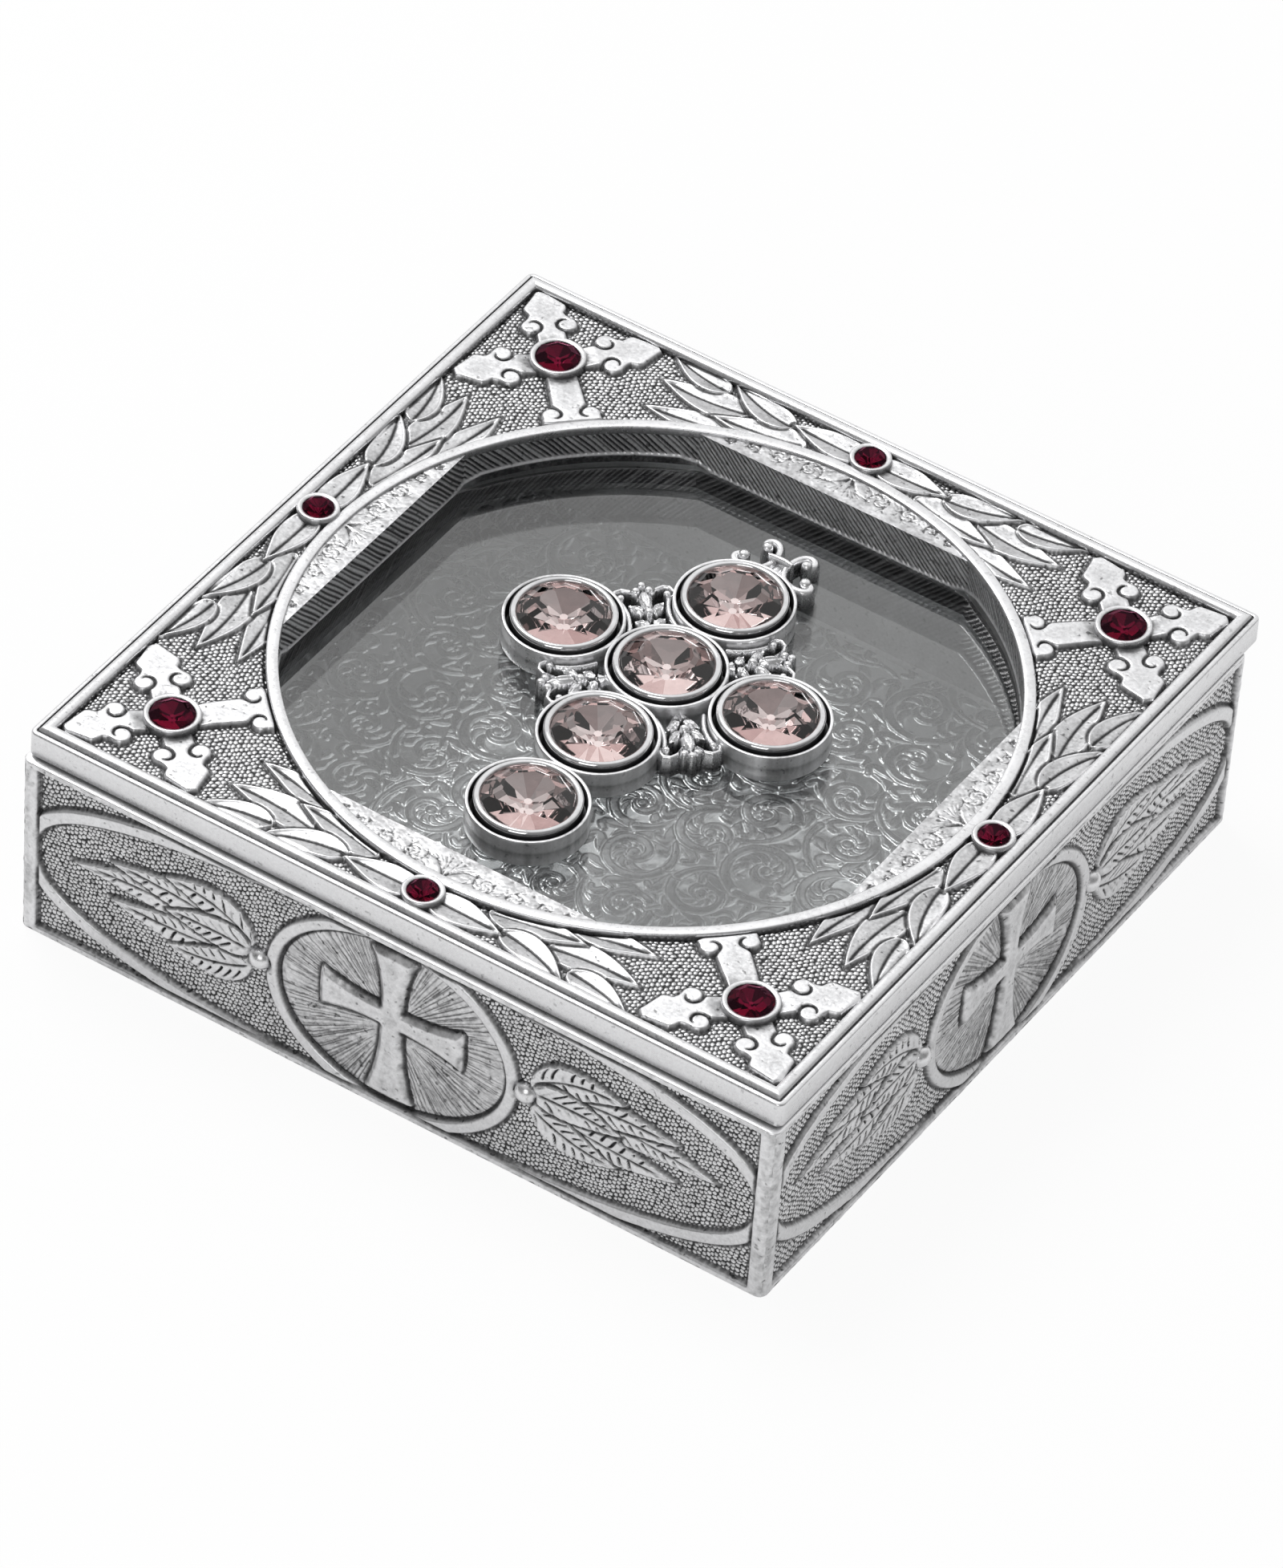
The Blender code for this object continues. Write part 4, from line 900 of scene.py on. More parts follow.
def cut_stone(name, place, radius, crown, depth, table, front, back, body, turn=0.0, sides=8):
    """A round cut stone of large flat facets with a mirrored back. Its girdle is at height 0 of its place."""
    points, faces, backs, girdle = [], [], [], []

    def ring(count, r, z):
        first = len(points)
        for step in range(count):
            angle = turn + 2 * math.pi * step / count
            high = z[step % 2] if isinstance(z, tuple) else z
            points.append((place[0] + r * math.cos(angle), place[1] + r * math.sin(angle), place[2] + high))
        return [first + step for step in range(count)]

    # the table's corners and the even girdle points share their angles; odd points lie lower, so each facet is flat
    flat = math.cos(math.pi / sides)
    slope = (crown - 0.10) / (radius * flat * (1 - table))
    odd = crown - slope * radius * (1 - table * flat)
    # the back's facets are turned half a facet against the front's and end in a small flat culet
    steep = math.tan(math.radians(PAVILION))
    culet = flat * radius - (depth + odd - 0.13) / steep
    even = odd - 0.13 + steep * (1 - flat) * radius
    top = ring(sides, radius * table, crown)
    rim = ring(2 * sides, radius, (0.10, odd))
    low = ring(2 * sides, radius, (even, odd - 0.13))
    end = ring(2 * sides, culet / flat, (-depth, -depth))
    for i in range(sides):
        after = (i + 1) % sides
        e, o, e2, before = 2 * i, 2 * i + 1, (2 * i + 2) % (2 * sides), (2 * i - 1) % (2 * sides)
        faces.append((top[after], top[i], rim[e], rim[o], rim[e2]))
        backs.append((end[before], end[o], low[o], low[e], low[before]))
        for a, b in ((e, o), (o, e2)):
            girdle.append((low[a], low[b], rim[b], rim[a]))
    rows = [np.array(faces), np.array([top]), np.array(backs), np.array([end[1::2][::-1]]), np.array(girdle)]
    verts, used = np.array(points), np.unique(np.concatenate([r.ravel() for r in rows]))
    index = np.zeros(len(verts), int)
    index[used] = np.arange(len(used))
    made = new_object(name, verts[used], [index[r] for r in rows], front, body, sharp=0)
    for material in back:
        made.data.materials.append(material)
    # every third facet of the back gets a darker copy of the foil, as painted shade
    kinds = np.ones(len(made.data.polygons), np.int32)
    kinds[:len(faces) + 1] = 0
    kinds[len(faces) + 1:len(faces) + 1 + sides:3] = 2
    made.data.polygons.foreach_set("material_index", kinds)
    return made


def stones():
    for name, x, y, radius in stone_places():
        rim = RIM + STONE_RIM
        wall = radius + STONE_WALL
        # the bezel's outer wall is painted darker downwards and its inner lip dark, as shade, so that its top reads
        # narrower
        profile = [
            (wall + 0.12, -1.35, 0.02), (wall + 0.03, -1.0, 0.10), (wall, -0.6, 0.35), (wall - 0.04, -0.16, 0.75), (wall - 0.16, -0.03, 1.0),
            (wall - 0.32, 0.0, 1.0), (radius + 0.10, -0.06, 0.85), (radius - 0.05, -0.14, 0.35), (radius - 0.06, -0.4, 0.1), (radius - 0.02, -1.1, 0.05),
        ]
        tone = np.array([p[2] for p in profile])
        made = turned(f"{name}_bezel", [(p[0], p[1]) for p in profile], (x, y, rim), 72, SMOOTH, "antique_pewter", "lid", tone)
        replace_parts(made, "lid_frame")
        girdle = rim - 0.22
        stone = cut_stone(name + "_cut", (x, y, girdle), radius, 0.80, 1.20, 0.56, RED, RED_BACK, "lid", turn=0.3 + x)
        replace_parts(stone, name)


def lid_underside():
    """Plain bottom of the lid and the frame that holds the pane."""
    first = math.acos((WINDOW_HALF) / RING_IN)

    def outline(offset, count=24):
        radius, half = RING_IN + offset, WINDOW_HALF + offset
        begin = math.acos(half / radius)
        points = []
        for quarter in range(4):
            chord = math.sqrt(radius ** 2 - half ** 2)
            for step in range(count):
                across = -chord + 2 * chord * step / count
                c, s = math.cos(quarter * math.pi / 2), math.sin(quarter * math.pi / 2)
                points.append((half * c - across * s, half * s + across * c))
            for step in range(count):
                angle = quarter * math.pi / 2 + begin + (math.pi / 2 - 2 * begin) * step / count
                points.append((radius * math.cos(angle), radius * math.sin(angle)))
        return np.array(points)

    loops = [(3.0, 24.3, 0.7), (2.8, 24.3, 0.6), (2.8, 24.1, 0.8), (2.8, 19.9, 0.9), (2.65, 19.72, 1.0), (1.75, 19.7, 1.0), (1.52, 19.78, 0.8), (1.5, 20.8, 0.6)]
    verts, tone = [], []
    for offset, height, shade in loops:
        path = outline(offset)
        verts.append(np.column_stack([path[:, 0], path[:, 1] + LID_Y, np.full(len(path), height)]))
        tone.append(np.full(len(path), shade))
    faces = grid_faces(len(loops), len(path), closed=True)
    made = new_object("lid_glass_frame", np.concatenate(verts), [faces], INSIDE, "lid", np.concatenate(tone), 40)
    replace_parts(made, "lid_frame")
    # flat plate from the glass frame to the lid's edge
    inner = outline(2.85)
    span = np.array([max(abs(px), abs(py)) for px, py in inner])
    outer = inner * ((LID_HALF - 0.6 * RIM_WIDTH) / span)[:, None]
    verts = np.concatenate([
        np.column_stack([inner[:, 0], inner[:, 1] + LID_Y, np.full(len(inner), 24.3)]),
        np.column_stack([outer[:, 0], outer[:, 1] + LID_Y, np.full(len(inner), 24.3)]),
    ])
    made = new_object("lid_underside", verts, [grid_faces(2, len(inner), closed=True)], INSIDE, "lid", np.full(len(verts), 0.85), 40)
    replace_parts(made, "lid_frame")


def knuckle(name, low, high, body):
    """One bored barrel of a hinge."""
    profile = [(0.58, low), (KNUCKLE - 0.12, low), (KNUCKLE, low + 0.12), (KNUCKLE, high - 0.12), (KNUCKLE - 0.12, high), (0.58, high)]
    steps = 48
    angles = np.linspace(0, 2 * math.pi, steps, endpoint=False)
    verts = []
    for radius, x in profile:
        verts.append(np.column_stack([np.full(steps, x), HINGE_Y + radius * np.cos(angles), HINGE_Z + radius * np.sin(angles)]))
    faces = grid_faces(len(profile), steps, closed=True)
    return new_object(name, np.concatenate(verts), [faces], INSIDE, body, np.full(len(profile) * steps, 0.85), 40)


def hinges():
    for title, side in (("left", -1), ("right", 1)):
        centre = side * HINGE_PLACE
        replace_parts(knuckle(f"lid_knuckle_{title}", centre - 4.0, centre + 4.0, "lid"), "lid_frame")
        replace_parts(knuckle(f"base_knuckle_{title}_a", centre - 8.3, centre - 4.3, "base"), "base_box")
        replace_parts(knuckle(f"base_knuckle_{title}_b", centre + 4.3, centre + 8.3, "base"), "base_box")


# ---------------------------------------------------------------- base walls

def superellipse_distance(u, v, half_u, half_v, power):
    """About the distance to a squared ellipse, negative inside."""
    value = (np.abs(u / half_u) ** power + np.abs(v / half_v) ** power) ** (1 / power)
    gu = np.sign(u) * np.abs(u / half_u) ** (power - 1) / half_u
    gv = np.sign(v) * np.abs(v / half_v) ** (power - 1) / half_v
    slope = np.hypot(gu, gv) * value ** (1 - power) + 1e-6
    return (value - 1) / slope


# start and tip (away from the ball, up), half widths above and below, and bend of each palm leaf
PALM = (
    ((1.6, 1.2), (24.3, 0.6), 2.3, 2.0, 0.7),
    ((1.2, 1.6), (19.4, 3.3), 2.1, 2.2, 0.6),
    ((1.2, -0.8), (19.4, -1.9), 2.3, 2.2, -0.5),
    ((0.7, 1.7), (12.5, 5.1), 2.3, 2.2, 1.3),
    ((0.9, -1.4), (12.0, -4.1), 2.2, 2.2, -0.9),
    ((0.8, 0.7), (12.2, 0.6), 2.2, 1.9, 0.3),
)


def cross_outline(height):
    arms = ((0.439, 5.6), (0.447, 6.0), (0.439, 5.6), (0.553, 6.3))
    waist, points = 3.1, []
    for number, (share, end) in enumerate(arms):
        length, angle, half = height * share, number * math.pi / 2, []
        for step in range(9):
            part = step / 8
            half.append((waist / 2 + (length - waist / 2) * part, waist / 2 + (end - waist) / 2 * part ** 2.2))
        tip = [(length + 0.35 * math.cos(t) ** 0.8, end / 2 * math.sin(t)) for t in np.linspace(-1.3, 1.3, 9)]
        arm = [(a, -b) for a, b in half[1:-1]] + [(length - 0.1, -end / 2)] + tip + [(length - 0.1, end / 2)] + [(a, b) for a, b in half[-2::-1]]
        for a, b in arm:
            points.append((a * math.cos(angle) - b * math.sin(angle), a * math.sin(angle) + b * math.cos(angle)))
    return points


def sunburst(angle, far, seed):
    """Fine radial cuts of uneven length: 1 in a cut, 0 between the cuts."""
    cuts = np.zeros(angle.shape)
    for layer, (count, begin, end) in enumerate(((88, 2.0, 13.5), (116, 4.0, 14.5), (104, 7.0, 14.5))):
        place = angle / (2 * math.pi) * count
        ray = np.round(place)
        zero = np.zeros_like(ray)
        key = np.mod(ray, count)
        shift = (cell_noise(key, zero, seed + layer) - 0.5) * 0.7
        gap = np.abs(place - ray - shift) * 2 * math.pi * far / count
        first = begin + 3.0 * cell_noise(key, zero, seed + layer + 40)
        last = end - 4.5 * cell_noise(key, zero, seed + layer + 80) ** 2
        depth = 0.35 + 0.65 * cell_noise(key, zero, seed + layer + 60)
        cuts = np.maximum(cuts, np.exp(-(gap / 0.075) ** 2) * step01(first, first + 0.8, far) * step01(last, last - 0.8, far) * depth)
    return cuts


def wall_relief(title, right, half_length, reach, left_post, right_post, seed):
    """One relief wall, wrapped half way round its two corners."""
    arc = BASE_CORNER * math.pi / 4
    flat = half_length - BASE_CORNER
    relief = Relief(-(flat + arc), flat + arc, 0.15, BASE_TOP - 0.15, FINE)
    relief.cell = relief.xs[1] - relief.xs[0]
    u, v = relief.x, relief.y
    low_u, high_u = -half_length + left_post, half_length - right_post
    mid_u, mid_v = (low_u + high_u) / 2, BASE_TOP / 2
    half_u, half_v = (high_u - low_u) / 2, BASE_TOP / 2 - BORDER
    a, b = u - mid_u, v - mid_v
    box = np.maximum(np.abs(a) - half_u, np.abs(b) - half_v)
    dots = beads(u, v, 0.60, seed, -0.30)
    relief.h = SUNK - 0.08 + 0.19 * dots
    # sunburst in the medallion
    medal = superellipse_distance(a, b, MEDALLION_HALF, half_v, 2.0)
    angle = np.arctan2(b, a)
    far = np.hypot(a, b)
    rays = sunburst(angle, far, seed)
    burst = SUNK + 0.12 - 0.10 * rays
    streaks = cell_noise(np.round(angle * 70), np.round(far * 0.9 + 3 * cell_noise(np.round(angle * 70), 0 * far, 5)), seed)
    burst += 0.02 * soft_noise(u.shape, 1.5, seed + 7) - 0.03 * streaks
    burst -= 0.12 * step01(-1.2, -0.1, medal)
    relief.h = np.where(medal < 0, burst, relief.h)

    def plateau(gap, top, edge, line=0.20, drop=0.26, dull=0.06):
        """Raises the inside of an outline, with a soft edge and a dark line around it."""
        relief.raise_shape(slice(None), gap, top - drop * (1 - step01(0.0, edge, -gap)), line, dull)

    band = superellipse_distance(a, b, half_u, half_v, BAND_POWER)
    plateau(np.maximum(-band, band - BAND_WIDTH), -0.06, 0.30)
    for side in (-1, 1):
        for number, (start, tip, up, down, bend) in enumerate(PALM):
            ends = [(mid_u + side * (BALL_PLACE + p[0]), mid_v + p[1]) for p in (start, tip)]
            wide = (up, down) if side > 0 else (down, up)
            paint_leaf(relief, ends[0], ends[1], *wide, bend * side, SUNK + 0.52 + 0.02 * number, PALM_LEAF, number + seed)
    plateau(np.maximum(-medal, medal - MEDALLION_WIDTH), -0.04, 0.35)
    lift = 20.3 * (0.553 - 0.447) / 2
    part = relief.window([(mid_u, mid_v)], 12.5)
    gap = np.full(u.shape, 9.0)
    gap[part] = polygon_distance(a[part], b[part] - lift, cross_outline(20.3))
    # the cross's sloping sides are painted darker than its flat top, as shade, with random mottling
    slope = (1 - step01(0.25, 0.95, -gap)) * (gap < 0)
    plateau(gap, 0.10, 0.85, 0.20, 0.46, (0.10 + 0.38 * slope) * relief.mottle)
    # frame: borders and posts
    plateau(-box, 0.0, 0.22, dull=0.20 * relief.mottle ** 2)
    # a collar round each stud, with a dark line between them
    for side in (-1, 1):
        near = np.hypot(a - side * BALL_PLACE, b)
        collar = np.minimum(-0.30 + 0.10 * relief.mottle, relief.h)
        relief.h = np.where(near < 1.9, collar * (1 - step01(1.5, 1.9, near)) + relief.h * step01(1.5, 1.9, near), relief.h)
        relief.h -= 0.30 * step01(1.62, 1.32, near)
        relief.shade = np.where(near < 1.9, 0.85, relief.shade)
    ground = (relief.covered < 0.5) & (medal > 0)
    relief.h = blur(relief.h, SOFTEN) + 0.010 * soft_noise(u.shape, 3.0, seed + 8) + 0.004 * soft_noise(u.shape, 1.0, seed + 9)
    hollow = relief.cavity(0.45)
    tone = step01(-0.12, 0.03, hollow) * relief.shade
    tone = np.where(ground, BEAD_TONE * step01(0.20, 0.56, dots) * (0.88 + 0.2 * relief.mottle), tone)
    inside = (medal < -0.1) & (gap > 0.05)
    tone = np.where(inside, step01(-0.24, -0.04, hollow) * (0.93 - 0.64 * rays - 0.20 * streaks) * (1.06 - 0.20 * relief.mottle), tone)
    tone = relief.soften_edges(tone * (1 - OUTLINE_TONE * relief.outline))
    relief.h = np.minimum(relief.h, 0.12)

    outwards = Vector((right.y, -right.x, 0))
    s = relief.x
    turn = np.clip((np.abs(s) - flat) / BASE_CORNER, 0, math.pi / 4)
    along = np.sign(s) * (np.minimum(np.abs(s), flat) + BASE_CORNER * np.sin(turn))
    depth = -BASE_CORNER * (1 - np.cos(turn))
    along += np.sign(s) * relief.h * np.sin(turn)
    depth += relief.h * np.cos(turn)
    draft = BASE_DRAFT * (1 - relief.y / BASE_TOP)
    along -= np.sign(s) * draft * np.clip(np.abs(s) / flat, 0, 1)
    depth += reach - draft
    x = along * right.x + depth * outwards.x
    y = along * right.y + depth * outwards.y + BASE_Y
    z = relief.y
    rows, cols = s.shape
    verts = np.stack([x.ravel(), y.ravel(), z.ravel()], 1)
    quarter = (cols - 1) // 4
    for number, word in enumerate("abcd"):
        part = np.zeros((rows - 1, cols - 1), bool)
        part[:, number * quarter:(cols if number == 3 else (number + 1) * quarter)] = True
        points, faces, shade = used_only(verts, grid_faces(rows, cols, part), tone.ravel())
        made = new_object(f"wall_{title}_{word}", points, [faces], PEWTER, "base", shade)
        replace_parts(made, "base_box")


WALLS = (
    ("front", Vector((1, 0, 0)), BASE_HALF_X, BASE_HALF_Y, POST, POST, 21),
    ("right", Vector((0, 1, 0)), BASE_HALF_Y, BASE_HALF_X, POST, BACK_POST, 22),
    ("back", Vector((-1, 0, 0)), BASE_HALF_X, BASE_HALF_Y, POST, POST, 23),
    ("left", Vector((0, -1, 0)), BASE_HALF_Y, BASE_HALF_X, BACK_POST, POST, 24),
)


def beads_on_walls(title, right, half_length, reach, left_post, right_post):
    """The two round studs of a wall."""
    outwards = Vector((right.y, -right.x, 0))
    mid_u = (left_post - right_post) / 2
    for side, word in ((-1, "a"), (1, "b")):
        steps = 13
        profile = []
        for step in range(steps):
            angle = -0.55 + (math.pi / 2 + 0.55) * step / (steps - 1)
            swell = 1 + 0.03 * math.sin(3 * angle)
            profile.append((max(BALL_RADIUS * math.cos(angle) * swell, 0.01), BALL_RADIUS * math.sin(angle)))
        made = turned(f"wall_{title}_ball_{word}", profile, (0, 0, 0), 40, SMOOTH, "antique_pewter", "base", None, 60)
        across = mid_u + side * BALL_PLACE
        place = right * across + outwards * (reach - BASE_DRAFT / 2 + BALL_PROUD - BALL_RADIUS) + Vector((0, BASE_Y, BASE_TOP / 2))
        turn = outwards.to_track_quat("Z", "Y").to_matrix().to_4x4()
        made.data.transform(Matrix.Translation(place * MM) @ turn)
        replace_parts(made, "base_box")


def walls():
    for title, right, half, reach, low, high, seed in WALLS:
        beads_on_walls(title, right, half, reach, low, high)
        wall_relief(title, right, half, reach, low, high, seed)


def base_shell():
    """Top edge, inner walls and underside of the base."""
    hx, hy = BASE_HALF_X, BASE_HALF_Y
    thick = WALL + BASE_DRAFT
    # the inner wall is painted darker towards the floor, as shade inside the box
    rows = [
        (hx - 0.00, hy - 0.00, 1.0, BASE_Y, BASE_TOP - 0.16, 1.0), (hx - 0.03, hy - 0.03, 1.0, BASE_Y, BASE_TOP - 0.06, 1.0),
        (hx - 0.12, hy - 0.12, 0.9, BASE_Y, BASE_TOP, 1.0), (hx - 1.0, hy - 1.0, 0.6, BASE_Y, BASE_TOP, 0.9),
        (hx - thick + 0.1, hy - thick + 0.1, 1.5, BASE_Y, BASE_TOP, 0.9), (hx - thick, hy - thick, 1.5, BASE_Y, BASE_TOP - 0.1, 0.8),
        (hx - thick, hy - thick, 1.5, BASE_Y, 14.0, 0.75), (hx - thick, hy - thick, 1.5, BASE_Y, FLOOR + 0.5, 0.6), (hx - thick - 0.5, hy - thick - 0.5, 1.2, BASE_Y, FLOOR, 0.5),
    ]
    made = square_sweep("base_inside", rows, INSIDE, "base", per_side=60)
    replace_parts(made, "base_box")
    low = BASE_DRAFT
    rows = [
        (hx - low, hy - low, 1.0, BASE_Y, 0.16, 1.0), (hx - low - 0.04, hy - low - 0.04, 1.0, BASE_Y, 0.05, 1.0), (hx - low - 0.15, hy - low - 0.15, 0.9, BASE_Y, 0.0, 1.0),
        (hx - 3.0, hy - 3.0, 1.5, BASE_Y, 0.0, 0.9), (hx - 3.3, hy - 3.3, 1.4, BASE_Y, 0.15, 0.8), (hx - 24.0, hy - 24.0, 1.0, BASE_Y, 0.2, 0.8), (0.2, 0.2, 0.1, BASE_Y, 0.2, 0.8),
    ]
    made = square_sweep("base_underside", rows[::-1], INSIDE, "base", per_side=60)
    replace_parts(made, "base_box")


def scroll_strokes():
    """Acanthus scrolls of the floor: (points, half width, height, taper) of every lobe, lowest first."""
    strokes = []
    pitch, high = 8.8, 7.7
    for row in range(-6, 7):
        for col in range(-7, 8):
            hand = 1 if (row + col) % 2 else -1
            cx = (col + 0.5 * (row % 2)) * pitch + 0.9 * math.sin(row * 2.3 + col)
            cy = row * high + 0.9 * math.cos(col * 1.9 + row * 0.7)
            begin = (row * 1.7 + col * 2.9) % 6.28
            size = 4.3 + 0.6 * math.sin(3 * row + 5 * col)

            def stem(turned):
                return size * (0.16 + 0.84 * max(0.0, 1 - turned / 8.2) ** 1.15)

            def spot(turned, reach):
                angle = begin + hand * turned
                return cx + reach * math.cos(angle), cy + reach * math.sin(angle)

            # leaves that flare off the outside, each with a curled end
            for leaf in range(7):
                start = 0.1 + leaf * 0.82
                points = []
                for k in range(8):
                    share = k / 7
                    turned = start + 0.62 * math.sin(2.3 * share)
                    points.append(spot(turned, stem(start) + 2.4 * share ** 0.9))
                strokes.append((points, 0.66, 0.22, (1.20, 0.55)))
            # comma-shaped lobes inside the first turn, the longest towards the root
            for lobe in range(7):
                start = 0.30 + lobe * 0.66
                deep = max(stem(start + 0.9) - stem(start + 6.6), 0.9)
                points = []
                for k in range(7):
                    share = k / 6
                    turned = start + 1.05 * share ** 0.8
                    points.append(spot(turned, stem(turned) - deep * (0.10 + 0.60 * share ** 1.15)))
                strokes.append((points, 0.54, 0.22, (0.50, 1.2)))
            strokes.append(([spot(t, stem(t)) for t in np.linspace(0, 8.1, 32)], 0.50, 0.26, (1.15, 0.85)))
            strokes.append(([spot(0, 0.05), spot(3, 0.05)], 0.62, 0.27, (1.0, 1.0)))
            # the stem that leaves the scroll
            points = [spot(-t, stem(0) + 0.55 * t * t) for t in np.linspace(0, 1.7, 9)]
            strokes.append((points, 0.50, 0.24, (1.0, 0.4)))
    return strokes


def floor_relief():
    """The embossed floor."""
    half_x, half_y = BASE_HALF_X - BASE_DRAFT - WALL, BASE_HALF_Y - BASE_DRAFT - WALL
    relief = Relief(-half_x + 0.4, half_x - 0.4, -half_y + 0.4, half_y - 0.4, COARSE)
    relief.ground = 0.02 * soft_noise(relief.x.shape, 4, 31)
    relief.h = relief.ground.copy()
    for points, half, height, taper in scroll_strokes():
        relief.emboss(points, half, height, taper)
    relief.h += 0.003 * soft_noise(relief.x.shape, 1.5, 32)
    # the cuts between the lobes are coloured bright and the lobes' tops grey, with random mottling
    raised = relief.h - relief.ground
    tone = FLOOR_TONE + (1 - FLOOR_TONE) * step01(0.17, 0.06, raised) * (0.80 + 0.25 * relief.mottle)
    tone -= 0.08 * relief.mottle
    rows, cols = relief.x.shape
    verts = np.stack([relief.x.ravel(), relief.y.ravel() + BASE_Y, relief.h.ravel() + FLOOR], 1)
    third = (cols - 1) // 3
    for number, word in enumerate(("left", "middle", "right")):
        for half, first, last in (("front", 0, rows // 2), ("back", rows // 2, rows)):
            part = np.zeros((rows - 1, cols - 1), bool)
            part[first:last, number * third:(cols if number == 2 else (number + 1) * third)] = True
            points, faces, shade = used_only(verts, grid_faces(rows, cols, part), tone.ravel())
            made = new_object(f"floor_{half}_{word}", points, [faces], GROUND, "base", shade)
            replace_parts(made, "base_box")


# ---------------------------------------------------------------- the cross

def cup_places():
    upright = [("foot", 0, 0), ("shaft", 0, 1), ("centre", 0, 2), ("head", 0, 3)]
    for title, x, y in (*upright, ("left_arm", -1, 2), ("right_arm", 1, 2)):
        yield title, x * CUP_PITCH, LID_Y + CROSS_LOW + y * CUP_PITCH


def settings():
    for number, (title, x, y) in enumerate(cup_places()):
        inner = CUP_RADIUS - CUP_WALL
        top = CUP_TOP - (0.02 if number % 2 else 0)
        # the cup's inside, hidden under the bezel, is painted nearly black as shade; the crease at its foot and the
        # band at the moulded step are coloured darker
        profile = [
            (0.01, CUP_FOOT, 0.8), (CUP_RADIUS - 0.15, CUP_FOOT, 0.8), (CUP_RADIUS - 0.06, CUP_FOOT + 0.01, 0.5), (CUP_RADIUS, CUP_FOOT + 0.12, 0.9),
            (CUP_RADIUS - 0.01, CUP_FOOT + 0.9, 0.90), (CUP_RADIUS - 0.05, CUP_FOOT + 1.6, 0.72), (CUP_RADIUS - 0.03, CUP_FOOT + 2.0, 0.95),
            (CUP_RADIUS - 0.01, top - 0.4, 1.0), (CUP_RADIUS - 0.01, top - 0.12, 1.0), (CUP_RADIUS - 0.07, top - 0.03, 1.0), (CUP_RADIUS - 0.18, top, 1.0), (inner + 0.10, top - 0.01, 1.0),
            (inner + 0.02, top - 0.08, 0.9), (inner, top - 0.3, 0.4), (inner, CUP_FLOOR + 0.2, 0.05), (BEZEL_OUT - 0.3, CUP_FLOOR, 0.02), (0.01, CUP_FLOOR, 0.02),
        ]
        tone = np.array([p[2] for p in profile])
        made = turned(f"cup_{title}", [(p[0], p[1]) for p in profile], (x, y, 0), 128, CUP, "antique_pewter", "lid", tone)
        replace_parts(made, "cross_casting")
        # the bezel's foot inside the cup is painted nearly black as shade; round its top the outer side is painted
        # dark and the crown bright as painted reflection, and the inner edge a little darker
        profile = [
            (BEZEL_OUT, CUP_FLOOR, 0.02), (BEZEL_OUT, CUP_TOP - 0.3, 0.04), (BEZEL_OUT, CUP_TOP - 0.02, 0.08),
        ]
        wide, tall = (BEZEL_OUT - BEZEL_IN) / 2, BEZEL_TOP - CUP_TOP - 0.02
        for step in range(13):
            angle = math.pi * step / 12
            shade = 0.30 + 0.70 * step01(0.02, 0.24, angle / math.pi) - 0.15 * step01(0.82, 1.0, angle / math.pi)
            profile.append((BEZEL_OUT - wide + wide * math.cos(angle), CUP_TOP + 0.02 + tall * math.sin(angle) ** 0.85, shade))
        profile += [(BEZEL_IN, CUP_TOP - 0.1, 0.85), (BEZEL_IN + 0.25, CUP_TOP - 0.3, 0.6)]
        tone = np.array([p[2] for p in profile])
        made = turned(f"bezel_{title}", [(p[0], p[1]) for p in profile], (x, y, 0), 160, SILVER, "polished_silver", "lid", tone)
        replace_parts(made, f"crystal_bezel_{title}")
        crystal = cut_stone(f"crystal_{title}", (x, y, BEZEL_TOP - 0.5), 5.2, 1.65, 2.40, 0.54, ROSE, ROSE_BACK, "lid", turn=0.12 + 0.5 * number, sides=10)
        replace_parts(crystal, f"rose_crystal_{title}")


def masked_relief(name, centre, half, cell, shape, base, surface, body, replaces, angle=0.0):
    """A cast ornament from a shape function: distance (negative inside) and height over its base."""
    count = int(round(2 * half / cell)) + 1
    line = np.linspace(-half, half, count)
    u, v = np.meshgrid(line, line)
    gap, height = shape(u, v)
    keep_point = gap < 0
    keep = keep_point[:-1, :-1] | keep_point[1:, :-1] | keep_point[:-1, 1:] | keep_point[1:, 1:]
    gv, gu = np.gradient(gap, cell)
    slope = np.maximum(np.hypot(gu, gv), 0.5)
    outside = np.clip(gap, 0, cell * 1.3)
    u2, v2 = u - outside * gu / slope, v - outside * gv / slope
    c, s = math.cos(angle), math.sin(angle)
    x, y = centre[0] + u2 * c - v2 * s, centre[1] + u2 * s + v2 * c
    height = np.maximum(height, 0.05)
    faces = grid_faces(count, count, keep)
    cavity = height - blur(height, 0.45 / cell)
    tone = 0.08 + 0.92 * step01(-0.55, -0.12, cavity)
    top = np.stack([x.ravel(), y.ravel(), base + height.ravel()], 1)
    # side walls below every border edge
    edges = np.concatenate([faces[:, [0, 1]], faces[:, [1, 2]], faces[:, [2, 3]], faces[:, [3, 0]]])
    key = edges[:, 0].astype(np.int64) * len(top) + edges[:, 1]
    back = edges[:, 1].astype(np.int64) * len(top) + edges[:, 0]
    border = edges[~np.isin(key, back)]
    under = top.copy()
    under[:, 2] = base
    verts = np.concatenate([top, under])
    skirt = np.stack([border[:, 1], border[:, 0], border[:, 0] + len(top), border[:, 1] + len(top)], 1)
    every = np.concatenate([faces, skirt, faces[:, ::-1] + len(top)])
    # the side walls under the ornament are painted darker, as shade
    shade = np.concatenate([tone.ravel(), np.full(len(top), 0.35)])
    verts, every, shade = used_only(verts, every, shade)
    made = new_object(name, verts, [every], surface, body, shade, 50)
    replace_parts(made, *replaces)
    return made


